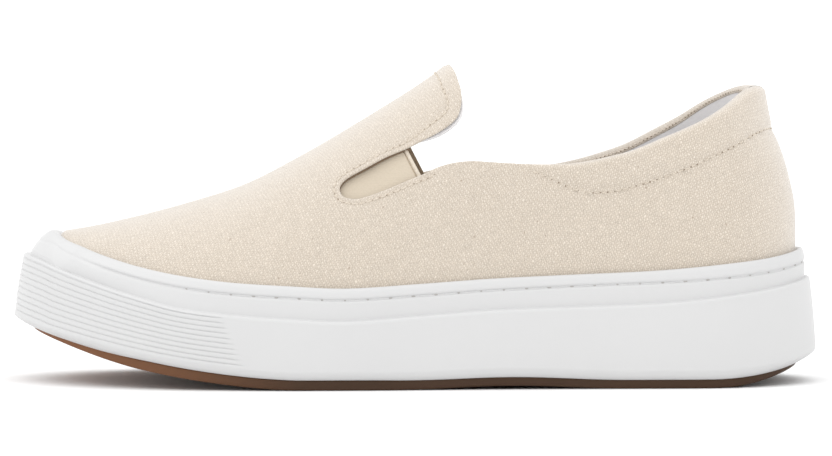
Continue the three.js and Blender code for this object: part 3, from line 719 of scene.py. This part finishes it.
def rubber_material(name, low, high, roughness, grain, depth, specular, painted_toe_light=None):
    """Satin rubber with a faint broad mottle and a fine grain, painted lighter towards the raised toe where
    asked, as painted light.
    """
    n = new_nodes(name)
    place = n.add("ShaderNodeTexCoord", {}, "Object")
    broad = n.noise(place, 18, 3.0, 0.5)
    fine = n.noise(place, grain, 3.0, 0.6)
    colour = n.mix_colour(broad, low, high)
    # Painted light: the brown turns lighter towards the raised toe, for the light that reaches it there.
    if painted_toe_light:
        reach = n.math("MULTIPLY_ADD", broad, 0.02, n.split(place)[0])
        toe = n.math("MULTIPLY_ADD", reach, -1 / 0.075, -0.4)
        colour = n.mix_colour(n.clamped(toe, 0.0, 1.0), colour, painted_toe_light)
    return n.finish(colour, n.bump(fine, depth, 0.5), Roughness=roughness, Specular_IOR_Level=specular)


CANVAS = canvas_material()
LINING = lining_material()
ELASTIC = elastic_material("beige_elastic", (0.56, 0.485, 0.382), (0.612, 0.532, 0.425), (0.73, 0.655, 0.55))
# Painted shade: the gussets' back faces, which face into the shoe, get a dark brown for the shade inside it.
ELASTIC_SHADED_BACK = elastic_material("elastic_back_painted_shade", (0.33, 0.235, 0.15), (0.43, 0.32, 0.21),
                                (0.33, 0.235, 0.15))
THREAD = thread_material("seam_thread", (0.72, 0.64, 0.54))
HOLE = thread_material("needle_shadow", (0.29, 0.225, 0.17))
FAINT_HOLE = thread_material("faint_needle_shadow", (0.44, 0.365, 0.29))
# Painted shadow: the dark brown of the strips set in the gap along each slot's upper edge.
SLOT_GAP_SHADOW = thread_material("slot_gap_shadow", (0.26, 0.18, 0.115))
SOLE_HOLE = thread_material("sole_needle_shadow", (0.47, 0.45, 0.43))
WHITE_THREAD = thread_material("white_thread", (0.7, 0.7, 0.7))
WHITE_RUBBER = rubber_material("white_rubber", (0.59, 0.59, 0.592), (0.625, 0.625, 0.625), roughness=0.45,
                               grain=1400, depth=0.00003, specular=0.4)
GUM_RUBBER = rubber_material("gum_rubber", (0.05, 0.027, 0.015), (0.075, 0.04, 0.023), roughness=0.6,
                             grain=1100, depth=0.00006, specular=0.2, painted_toe_light=(0.2, 0.088, 0.042))


def place_piece(obj, material, slot, *replaced):
    obj.data.materials.append(material)
    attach(obj, "root")
    if replaced:
        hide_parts(*replaced)


# The upper
EDGE_ROLL = 0.55
PAD_ROLL = 2.6
CANVAS_LAYER = 1.05
LINING_START = 1.15
CANVAS_TURN = 0.9
FLAP_SET_BACK = 1.35
FLAP_CURL = 0.35
TOE_RIDGE_FULLNESS = 0.6
FLAP_RIDGE_FULLNESS = 0.9
FLAP_END_DIP = 0.8
FOLD_BAND = 0.4
EDGE_TUCK = 2
EDGE_TURNS = 12
FOLD_HEM = 0.3
LINING_TURN = 0.13
SLOT_SEAM_INSET = 2.1
FLAP_SEAM_INSET = 6.2
# A step round the circle that makes the needle holes uneven
UNEVEN = 7.3
CREASES = [
    # x0, z0, x1, z1, width, depth
    (-30, 66, -62, 52, 5, 0.25),
    (8, 74, -14, 60, 6, 0.2),
    (20, 76, 26, 58, 7, 0.25),
    (60, 66, 48, 50, 7, 0.25),
    (95, 72, 100, 56, 6, 0.2),
    (40, 60, 78, 56, 8, 0.2),
]


def upper_fields(skin):
    """Padding, height above the collar seam and the offsets that they give, over the whole skin."""
    x, z = skin.x, skin.z
    fill = padding_at(x) * ease(x, 20, 45)
    above = z - seam_height(x)
    outward = mix(PAD_OUTWARD, PAD_OUTWARD_AT_HEEL, ease(skin.along, 0.85, 1))
    swell = np.sqrt(1 - (1 - np.clip(above / 6, 0, 1)) ** 2)
    seam = ease(x, 34, 46)
    flap = ease(x, -8, 4) * ease(-x, -36, -26) * ease(z, 84, 92)
    at_end = ease(x, -12, 6) * ease(z, 84, 96)
    stitched = skin.edge - mix(SLOT_SEAM_INSET, FLAP_SEAM_INSET, at_end)
    row = np.maximum(ease(-x, -9, -3), ease(z, 84, 88)) * (1 - seam)
    pinch = 0.5 * bell(above) * seam + 0.16 * bell(stitched / 0.7) * row
    inside = np.maximum(skin.edge, 0)
    curl = FLAP_CURL * ease(z, 98, 112) * bell(inside / 5)
    dip = FLAP_END_DIP * ease(z, 104, 112) * bell(inside / 1.5)
    return {
        "fill": fill,
        "above": above,
        "out": outward * fill * swell - pinch,
        "inward": WALL_THICKNESS + PAD_INWARD * fill * ease(above, -5, 9),
        "flap": flap,
        "stitched": stitched,
        "curl": flap * (curl - dip) + ridge_fullness(skin),
    }


def ridge_fullness(skin):
    """How much the vamp fills out along its ridge, behind the toe and under the flap."""
    x = skin.x
    s = last_section(skin.along, skin.side)
    near_ridge = ease((skin.z - s["seat"]) / np.maximum(s["top"] - s["seat"], 1), 0.55, 0.95)
    behind_toe = TOE_RIDGE_FULLNESS * bell((x + 98) / 19)
    under_flap = FLAP_RIDGE_FULLNESS * bell((x + 13) / np.where(x < -13, 19, 26))
    return near_ridge * (behind_toe + under_flap) * ease(-x, -36, -26)


def crease(skin, x0, z0, x1, z1, width, depth):
    """A soft trough along a line in the side view, on the outer side of the shoe."""
    p = np.stack([skin.x, skin.z], axis=-1)
    start, run = np.array([x0, z0]), np.array([x1 - x0, z1 - z0])
    t = np.clip(((p - start) @ run) / (run @ run), 0, 1)
    gap = np.linalg.norm(p - start - t[..., None] * run, axis=-1)
    fade = np.sin(math.pi * t) ** 0.5 * ease(-skin.point[..., 1], 4, 14)
    return -depth * bell(gap / width) * fade


def make_upper():
    skin = Skin(COLUMNS, ROWS)
    fields = upper_fields(skin)
    fields["out"] = fields["out"] + sum(crease(skin, *row) for row in CREASES)
    fill, flap, curl = fields["fill"], fields["flap"], fields["curl"]
    rim = skin.z - sole_line("rim", skin.x)
    radius = mix(EDGE_ROLL, PAD_ROLL, fill)
    far = -mix(CANVAS_LAYER, fields["inward"], fill)
    set_back = FLAP_SET_BACK * flap * (1 - ease(skin.z, 98, 110))
    keep = np.minimum(skin.edge - radius - set_back, rim + 5)
    until = mix(0.95, CANVAS_TURN, fill) * ease(rim, -4, 4)
    # Painted shade: fold_shade marks where the rolled edge is darkened, towards the toe from the slots'
    # ends, on the flap and a little on the padded collar.
    marks = {"fold_shade": np.maximum(ease(-skin.x, -2, 3), np.maximum(flap, 0.25 * fill))}
    canvas = trimmed_shell("upper_canvas", skin, keep, fields["out"] + curl, far + curl, radius, until,
                           mix(EDGE_TUCK, FOLD_BAND, fill), marks, FOLD_HEM)
    place_piece(canvas, CANVAS, "canvas", "upper")
    return skin, fields


def make_lining():
    skin = Skin(COLUMNS * 2 // 3, ROWS * 2 // 3)
    f = upper_fields(skin)
    fill, flap = f["fill"], f["flap"]
    near = -mix(mix(2.3, 2.9, flap), f["inward"] - 0.3, fill) + f["curl"]
    far = mix(-mix(LINING_START, 1.7, flap), f["out"] - 0.35, fill) + f["curl"]
    radius = mix(0.5, PAD_ROLL - 0.3, fill)
    at_flap = mix(0.6, 1.1, ease(skin.z, 96, 108))
    set_back = mix(mix(2.2, at_flap, flap), 0.3, fill)
    keep = np.minimum(skin.edge - radius - set_back, skin.z - sole_line("seat", skin.x) + 0.1)
    lining = trimmed_shell("upper_lining", skin, keep, near, far, radius, mix(1.0, LINING_TURN, fill),
                           EDGE_TUCK + 0 * fill, {})
    place_piece(lining, LINING, "lining")


def needle_hole(p, q, normal, size, width, lift):
    """A short dark thread at p, laid towards q, as the painted shadow of a needle hole."""
    return stitch_row([2 * p - q, q], [normal], size, width, lift)


def sew(name, rows, dark, pitch, length, radius, hole, facing=1):
    """Threads along some lines on the upper, and between them dark marks for the painted shadow in the
    needle holes, some larger than others.
    """
    threads, holes = [], []
    for line in rows:
        even = resample(line, pitch)
        normals = unit(even[:, 3:6])
        places = even[:, :3] + even[:, 12:13] * normals
        normals = facing * normals
        threads.append(stitch_row(places, normals, length, radius, 0.3 * radius))
        for index, (p, q, normal) in enumerate(zip(places, places[1:], normals)):
            size = hole * (1 + 0.3 * math.sin(UNEVEN * index))
            holes.append(needle_hole(p, q, normal, size, 0.42 * size, -0.04))
    place_piece(new_object(name + "_stitches", *joined(threads)), THREAD, "canvas")
    place_piece(new_object(name + "_needle_holes", *joined(holes)), dark, "canvas")


def make_seams(skin, fields):
    """Stitch rows round the slots and the flap, along the collar seam and along the collar's fold."""
    x, z = skin.x, skin.z
    out = fields["out"] + fields["curl"]
    slot = np.maximum(np.minimum(7 - x, z - sole_line("rim", x) - 2), np.minimum(z - 86, 40 - x))
    rows = contour(skin, fields["stitched"], np.minimum(slot, skin.edge), out)
    sew("slot", rows, FAINT_HOLE, pitch=2.65, length=2.2, radius=0.3, hole=0.6)
    rows = contour(skin, fields["above"] - 0.1, np.minimum(x - 40, skin.edge - 1), out)
    sew("collar", rows, HOLE, pitch=2.6, length=1.75, radius=0.24, hole=0.56)
    turn = math.pi * (CANVAS_TURN - 0.06)
    deep = mix(fields["out"], -fields["inward"], (1 - math.cos(turn)) / 2)
    rows = contour(skin, skin.edge - PAD_ROLL, x - 46, deep)
    for line in rows:
        line[:, :3] += PAD_ROLL * math.sin(turn) * unit(line[:, 6:9])
    sew("fold", rows, HOLE, pitch=1.6, length=0.9, radius=0.2, hole=0.54, facing=-1)


def make_slot_gap_shadows(skin):
    """Dark strips in the gap along the upper edge of each slot, a painted shadow of that gap."""
    over_axis = skin.z - (69.6 + 0.42 * (skin.x + 26.7))
    parts = []
    for line in contour(skin, skin.edge - 0.8, np.minimum(over_axis, -1.5 - skin.x)):
        even = resample(line, 0.8)
        normal, toward = unit(even[:, 3:6]), unit(even[:, 6:9])
        corners = ((-1.2, 0.6), (-1.2, -2.5), (-1.6, -2.5), (-1.6, 0.6))
        rings = [even[:, :3] + deep * normal + low * toward for deep, low in corners]
        node = np.arange(4 * len(even)).reshape(-1, 4)
        points = np.stack(rings, axis=1).reshape(-1, 3)
        parts.append((points, round_quads(node) + [node[0, ::-1], node[-1]]))
    place_piece(new_object("slot_gap_shadows", *joined(parts)), SLOT_GAP_SHADOW, "elastic")


# The gussets
GORE_HEM = 1.6
GORE_LENGTH = 41
GORE_THICKNESS = 1.5
GORE_FRONT = ((-34.5, 62.0), (-33.0, 76.0))
GORE_END = {-1: ((4.5, 71.2), (-6.3, 90.8)), 1: ((5.2, 71.2), (-5.0, 90.8))}


def gore_surface(side, s, t):
    """Points of a gusset in the side view: s from its hidden front to its free end, t up its height."""
    (front_low, front_high), (end_low, end_high) = np.array(GORE_FRONT), np.array(GORE_END[side])
    low, high = mix(front_low, end_low, s[..., None]), mix(front_high, end_high, s[..., None])
    return mix(low, high, t[..., None])


def wall_point(x, z, side):
    """The last's side wall at a place in the side view, with its outward normal."""
    def at(px, pz):
        along = along_last(px)
        s = last_section(along, side)
        rise = np.clip((pz - s["seat"]) / (s["top"] - s["seat"]), 0, 1)
        y = s["middle"] + side * s["half"] * (1 - rise ** s["power"]) ** (1 / s["power"])
        return np.stack([px, y, pz], axis=-1)

    here = at(x, z)
    dx = at(x + 0.5, z) - at(x - 0.5, z)
    dz = at(x, z + 0.5) - at(x, z - 0.5)
    normal = unit(np.cross(dx, dz))
    return here, np.where(normal[..., 1:2] * side < 0, -normal, normal)


def make_gore(side, name):
    across, up = 90, 36
    s, t = np.meshgrid(1 - (1 - np.linspace(0, 1, across)) ** 1.6, np.linspace(0, 1, up), indexing="ij")
    flat = gore_surface(side, s, t)
    point, normal = wall_point(flat[..., 0], flat[..., 1], side)
    from_end = (1 - s) * GORE_LENGTH
    hem = ease(from_end, GORE_HEM + 0.15, GORE_HEM - 0.35)
    # line marks where the fold's painted shade line lies, next to the hem.
    line = bell((from_end - GORE_HEM - 0.25) / 0.25)
    fold = 0.45 * hem - 0.4 * line - 0.6 * (1 - np.clip(from_end / 0.5, 0, 1)) ** 2
    sag = 0.5 * np.sin(math.pi * np.clip(1.15 - from_end / 30, 0, 1)) * np.sin(math.pi * t)
    lift = 0.35 * ease(t, 0.55, 0.95) - (WALL_THICKNESS - 0.1) - sag
    outer = point + (lift + fold)[..., None] * normal
    points, faces = slab(outer, point + (lift - GORE_THICKNESS)[..., None] * normal)
    if side > 0:
        faces = [face[::-1] for face in faces]
    marks = {"hem": np.append(hem, 0 * hem), "fold_line": np.append(line, 0 * line)}
    uv = np.vstack([flat.reshape(-1, 2)] * 2) * MM
    piece = new_object("gusset_" + name, points, faces, uv, marks)
    place_piece(piece, ELASTIC, "elastic", "gore_" + name)
    # The back faces take the dark brown painted shade of the shoe's inside.
    piece.data.materials.append(ELASTIC_SHADED_BACK)
    backs = (across - 1) * (up - 1)
    piece.data.polygons.foreach_set("material_index", [0] * (len(faces) - backs) + [1] * backs)
    column = int(np.argmin(np.abs(from_end[:, 0] - 0.6 * GORE_HEM)))
    even = resample(np.concatenate([outer, normal], axis=-1)[column], 2.0)
    stitches = stitch_row(even[:, :3], unit(even[:, 3:6]), 1.5, 0.15, 0.05)
    place_piece(new_object("gusset_stitches_" + name, *stitches), THREAD, "elastic")


# The sole
def outline_point(trip):
    """A point of the last's outline: trips from 0 to 1 run along the outer side and from 1 to 2 back."""
    trip = np.mod(trip, 2)
    side = np.where(trip <= 1, -1, 1)
    s = last_section(rounded(trip), side)
    return np.stack([s["x"], s["middle"] + side * s["half"]], axis=-1)


def even_trips(count):
    """Places round the shoe at even distances along the last's outline."""
    fine = np.linspace(0, 2, 6001)
    length = run_length(outline_point(fine), 0)
    return np.interp(np.linspace(0, length[-1], count, endpoint=False), length, fine)


class Outline:
    """Stations round the sole, as the solids have them but finer."""

    def __init__(self, count):
        trip = even_trips(count)
        self.at = outline_point(trip)
        run = unit(outline_point(trip + CAD_STATION_STEP) - outline_point(trip - CAD_STATION_STEP))
        self.out = np.stack([run[:, 1], -run[:, 0]], axis=1)
        self.end = self.out[:, 0] ** 2
        at_end = np.where(self.out[:, 0] < 0, TOE_MARGIN + TOE_FULLNESS, HEEL_MARGIN)
        self.margin = mix(SIDE_MARGIN, at_end, self.end)
        self.edge_x = self.at[:, 0] + self.out[:, 0] * self.margin
        self.bevel = mix(BEVEL_IN, BEVEL_IN_AT_ENDS, self.end)
        self.toe = 1 - ease(self.at[:, 0] - LAST_TOE, 0, TOE_ROUND_LENGTH)
        self.tip = tip = ease(-self.edge_x, 118, 140)
        rim = sole_line("rim", self.edge_x)
        near, self.rim_inset = np.zeros(count), np.full(count, 3.0 * TOE_TIP_DEPTH)
        for _ in range(30):
            tried = (near + self.rim_inset) / 2
            low = last_height(*(self.at - self.out * tried[:, None]).T) < rim
            near, self.rim_inset = np.where(low, tried, near), np.where(low, self.rim_inset, tried)
        self.foot = self.margin - mix(UPPER_TIER_INSET, UPPER_TIER_INSET_AT_TOE, self.toe)
        reach = self.rim_inset * mix(1, BEAD_REACH_AT_TIP, tip)
        self.head = mix(BEAD_WIDTH, BEAD_WIDTH_AT_TOE, self.toe) - reach
        self.bulge = mix(TIER_BULGE_DEPTH, TIER_BULGE_DEPTH_AT_TOE, self.toe) * mix(1, 0.25, tip)
        self.tier = rim - sole_line("ledge", self.edge_x)

    def wall(self, drop):
        """Where the wall over the ledge stands, some way below the rim."""
        share = 1 - drop / self.tier
        return mix(self.foot, self.head, share) + self.bulge * np.sin(math.pi * np.clip(share, 0, 1))

    def ring(self, out, height):
        """A ring of points some way out from the last's outline, at a height that follows the length."""
        p = self.at + self.out * np.broadcast_to(out, self.margin.shape)[:, None]
        return np.column_stack([p, height(p[:, 0])])

    def under(self, line, out, drop):
        """A ring that lies some way under one of the sole's lines."""
        return self.ring(out, lambda x: sole_line(line, x) - drop)


def corner_height(x, end):
    return cup_bottom(x) + mix(BEVEL_UP, 0.5 * BEVEL_UP, end)


def skirt_bottom(x):
    """The lower edge of the white rubber, which hangs a little over the brown at both ends."""
    return cup_bottom(x) - SKIRT * np.maximum(ease(x, -20, 20), ease(-x, 90, 115))


def tier_out(o, share):
    return o.margin - mix(LEDGE_INSET, LEDGE_INSET_AT_TOE, o.toe) * share * mix(0.6, 1, share)


def bead_drop(o):
    """How far under the rim the groove lies: deeper towards the heel."""
    return BEAD_HEIGHT + BEAD_DROP_AT_HEEL * ease(o.edge_x, 70, 120)


def rib_depth(o, row):
    """How deep the toe's grooves are on a row of the ladder: rounded ridges, sharp grooves."""
    place = (row - RIB_FIRST_ROW) / RIB_ROWS
    if not -0.5 <= place <= RIB_COUNT - 0.5:
        return np.zeros_like(o.margin)
    index = round(place)
    off_groove = abs(place - index)
    ridge = 1 - (1 - (1 - 2 * off_groove) ** 2.2) ** (1 / 2.2)
    if place < 0 or place > RIB_COUNT - 1:
        ridge = ridge * (off_groove < 0.3)
    end = RIB_END_X + index * RIB_END_SLANT
    return RIB_DEPTH * ridge * ease(end - o.edge_x, 0, RIB_RUN_OUT)


def cupsole_rings(o):
    """The rings of the cupsole's outside, from under the foot to inside the rim."""
    rings = [o.ring(o.margin - o.bevel - OUTSOLE_INSET - inset, cup_bottom) for inset in (2, 0)]
    for angle in np.linspace(0.02, 0.98, 12) * math.pi / 2:
        out = o.margin - o.bevel * (1 - math.sin(angle) ** 1.25)
        share = 1 - math.cos(angle) ** 1.25
        rings.append(o.ring(out, lambda x: mix(skirt_bottom(x), corner_height(x, o.end), share)))
    tall = sole_line("ledge", o.edge_x) - corner_height(o.edge_x, o.end)
    narrow = mix(1, RIB_NARROWING, ease(o.edge_x, -118, -88))
    ribbed = np.minimum(RIB_LADDER_ROWS * RIB_PITCH / RIB_ROWS * narrow, tall - 0.2)
    ladder = mix(ribbed, 0.93 * tall, ease(o.edge_x, -60, -40))
    drops = [(mix(tall, ladder, t), BELOW_RIBS) for t in np.linspace(0.15, 0.85, 4)]
    drops += [(ladder * row / RIB_LADDER_ROWS, row) for row in range(RIB_LADDER_ROWS, 6, -RIB_ROW_STEP)]
    for drop, row in drops:
        share = 1 - drop / tall
        out = tier_out(o, share) - rib_depth(o, row)
        rings.append(o.ring(out, lambda x: mix(corner_height(x, o.end), sole_line("ledge", x), share)))
    for angle in np.linspace(0, math.pi / 2, 9)[1:]:
        out = tier_out(o, 0.95) - SHOULDER * (1 - math.cos(angle))
        rings.append(o.under("ledge", out, SHOULDER * (1 - math.sin(angle))))
    for ahead in (0.55, 0.15):
        rings.append(o.under("ledge", o.foot + ahead, 0.1 * (ahead - 0.55)))
    groove = bead_drop(o)
    fade = GROOVE_DEPTH * mix(1, 0.25, ease(-o.edge_x, 112, 130))
    for t in np.linspace(0.04, 1, 16):
        drop = mix(o.tier, groove + 0.75, t)
        rings.append(o.under("rim", o.wall(drop), drop))
    for above, deep in ((0.5, 0.3), (0.3, 0.75), (0.05, 1.0), (-0.2, 1.0), (-0.45, 0.6), (-0.6, 0.15)):
        rings.append(o.under("rim", o.wall(groove + above) - deep * fade, groove + above))
    width = mix(1.25, 1.5, o.toe)
    for angle in np.linspace(0.12, math.pi / 2, 14):
        drop = (groove - 0.75) * (1 - math.sin(angle))
        rings.append(o.under("rim", o.wall(drop) + 0.1 - width * (1 - math.cos(angle)) ** 1.3, drop))
    for ahead, drop in ((0.5, 0.05), (1.0, 0.35), (1.7, 1.1)):
        rings.append(o.under("rim", o.wall(0.0) - width - ahead, drop * mix(1, 0.15, o.tip)))
    rings.append(o.under("rim", -o.rim_inset - 0.5, 3.5))
    return rings


def bridge(rings):
    """Faces between rings that go round the shoe."""
    return round_quads(np.arange(len(rings) * len(rings[0])).reshape(len(rings), -1))


def make_cupsole(o):
    rings = cupsole_rings(o)
    n = len(rings[0])
    low = np.arange(n // 2 + 1)
    node = np.column_stack([low, -low % n])
    faces = bridge(rings)
    for a, b in zip(node, node[1:]):
        faces.append(list(dict.fromkeys([a[0], a[1], b[1], b[0]])))
    piece = new_object("cupsole_rubber", np.vstack(rings), faces)
    place_piece(piece, WHITE_RUBBER, "white_rubber", "cupsole")


def make_sole_stitches(o):
    """The long white stitches that lie in the groove under the bead, and between them grey marks for the
    painted shadow in the needle holes.
    """
    drop = bead_drop(o) - 0.05
    line = o.under("rim", o.wall(drop) - GROOVE_DEPTH, drop)
    line = np.column_stack([line, o.out, 0 * drop])
    even = resample(np.vstack([line, line[:1]]), 8.1)
    shown = ease(even[:, 0], -88, -55)
    threads, holes = [], []
    for index, (a, b, seen) in enumerate(zip(even, even[1:], shown)):
        if seen < 0.1:
            continue
        p, q, normal = a[:3], b[:3], a[3:]
        size = 1.15 * (1 + 0.35 * math.sin(UNEVEN * index))
        threads.append(stitch_row([p, q], [normal], 7.2, 0.28, 0.0))
        holes.append(needle_hole(p, q, normal, size, 0.22, 0.1 * seen))
    place_piece(new_object("sole_stitches", *joined(threads)), WHITE_THREAD, "white_rubber")
    place_piece(new_object("sole_stitch_holes", *joined(holes)), SOLE_HOLE, "white_rubber")


def make_outsole(o):
    """The brown rubber under the cupsole, with shallow wavy grooves across its tread."""
    full = o.margin - o.bevel - 0.3
    rings = [o.ring(full - 4.0, tread_height)]
    for angle in np.linspace(math.pi / 2, 0.3, 5):
        out = full - 0.15 - OUTSOLE_ROUND * (1 - math.cos(angle))
        rings.append(o.ring(out, lambda x: tread_height(x) + OUTSOLE_ROUND * (1 - math.sin(angle))))
    for t in np.linspace(1, 0, 5):
        rings.append(o.ring(full - 0.15 * t,
                            lambda x: mix(cup_bottom(x) - 0.05, tread_height(x) + OUTSOLE_ROUND, t)))
    rings.append(o.ring(full - 0.2, lambda x: cup_bottom(x) - 0.02))
    n = len(rings[0])
    half, across = n // 2, TREAD_ACROSS
    t = np.linspace(0, 1, across)[:, None]
    tread = mix(rings[0][1:half, None], rings[0][:half:-1, None], t)
    tread[..., 2] = tread_height(tread[..., 0]) + tread_groove(tread[..., 0], tread[..., 1], t[:, 0])
    node = len(rings) * n + np.arange((half - 1) * across).reshape(-1, across)
    node[:, 0] = np.arange(1, half)
    node[:, -1] = n - node[:, 0]
    faces = bridge(rings) + list(quads(node)[:, ::-1])
    faces += [[0, *node[0, ::-1]], [half, *node[-1]], (len(rings) - 1) * n + np.arange(n)]
    piece = new_object("outsole_rubber", np.vstack(rings + list(tread)), faces)
    place_piece(piece, GUM_RUBBER, "gum_rubber", "outsole")


def tread_groove(x, y, t):
    """Depth of the tread's wavy grooves, fading out near the edge."""
    wave = x + 3.2 * np.abs(((y / 14) % 2) - 1)
    groove = ease(np.abs(((wave / 6.4) % 1) - 0.5), 0.2, 0.08)
    margin = ease(np.minimum(t, 1 - t), 0.02, 0.06)
    ends = ease(x, -128, -118) * ease(-x, -128, -118)
    return 1.1 * groove * margin * ends


def make_insole():
    """The insole's cloth top, slightly dished and turned up along its edge."""
    along = rounded(np.linspace(0.04, 0.985, 120))[:, None]
    share = np.linspace(-1, 1, 40)

    def edge(side):
        s = last_section(along, side)
        return s["middle"] + side * np.maximum(s["half"] - WALL_THICKNESS - 0.7, 0.5)

    y = mix(edge(-1), edge(1), (share + 1) / 2)
    x = mix(LAST_TOE + 3.5, LAST_TOE + LAST_LENGTH - 3.5, along) + 0 * y
    seat = sole_line("seat", x)
    dish = 1.3 * np.abs(share) ** 4 - 0.5 * (1 - share ** 2) - 1.2 * ease(np.abs(share), 0.96, 1.0)
    top = np.stack([x, y, seat + INSOLE_THICKNESS - 0.4 + dish], axis=-1)
    points, faces = slab(top, np.stack([x, y, seat + 0.15], axis=-1))
    piece = new_object("insole_cloth", points, faces, points[:, :2] * MM)
    place_piece(piece, LINING, "lining", "insole")


skin, fields = make_upper()
make_lining()
make_seams(skin, fields)
make_slot_gap_shadows(skin)
make_gore(-1, "lateral")
make_gore(1, "medial")
outline = Outline(ROUND_SOLE)
make_cupsole(outline)
make_sole_stitches(outline)
make_outsole(outline)
make_insole()


# The studio
CAMERA_DISTANCE = 1.4
CAMERA_HEIGHT = 0.110
AIM_HEIGHT = 0.0555
FRAME_WIDTH = 0.3039
SENSOR = 36.0
SKY_TOP = 0.85
SKY_HORIZON = 1.5
SUN_STRENGTH = 1.35


def make_floor():
    size = 8.0
    mesh = bpy.data.meshes.new("floor")
    points = [(-size, -size, 0), (size, -size, 0), (size, size, 0), (-size, size, 0)]
    mesh.from_pydata(points, [], [(0, 1, 2, 3)])
    n = new_nodes("studio_floor")
    mesh.materials.append(n.finish((0.93, 0.93, 0.93), None, Roughness=0.9, Specular_IOR_Level=0.0))
    floor = add_object("floor", mesh)


def light_sky(world):
    """White light from all round, stronger near the horizon, so that it reaches under the raised toe."""
    n = Nodes(world)
    height = n.math("ABSOLUTE", n.split(n.add("ShaderNodeTexCoord", {}, "Generated"))[2])
    low = n.math("POWER", n.math("MULTIPLY_ADD", height, -1.0, 1.0), 2.0)
    strength = n.math("MULTIPLY_ADD", low, SKY_HORIZON - SKY_TOP, SKY_TOP)
    light = n.add("ShaderNodeBackground", {"Color": (1, 1, 1), "Strength": strength})
    n.add("ShaderNodeOutputWorld", {"Surface": light})


def make_studio():
    scene = bpy.context.scene
    scene.world = bpy.data.worlds.new("studio")
    light_sky(scene.world)
    scene.view_settings.view_transform = "Standard"
    sun = bpy.data.lights.new("overhead", "SUN")
    sun.energy = SUN_STRENGTH
    sun.angle = math.radians(80)
    add_object("overhead", sun).rotation_euler = (math.radians(6), math.radians(-8), 0)
    lens = bpy.data.cameras.new("camera")
    lens.sensor_width = SENSOR
    lens.lens = SENSOR * CAMERA_DISTANCE / FRAME_WIDTH
    camera = scene.camera = add_object("camera", lens)
    camera.location = (0, -CAMERA_DISTANCE, CAMERA_HEIGHT)
    aim = Vector((0, 0, AIM_HEIGHT)) - camera.location
    camera.rotation_euler = aim.to_track_quat("-Z", "Y").to_euler()
    make_floor()


make_studio()


def corners(box):
    return [[float(v) for v in corner] for corner in box]
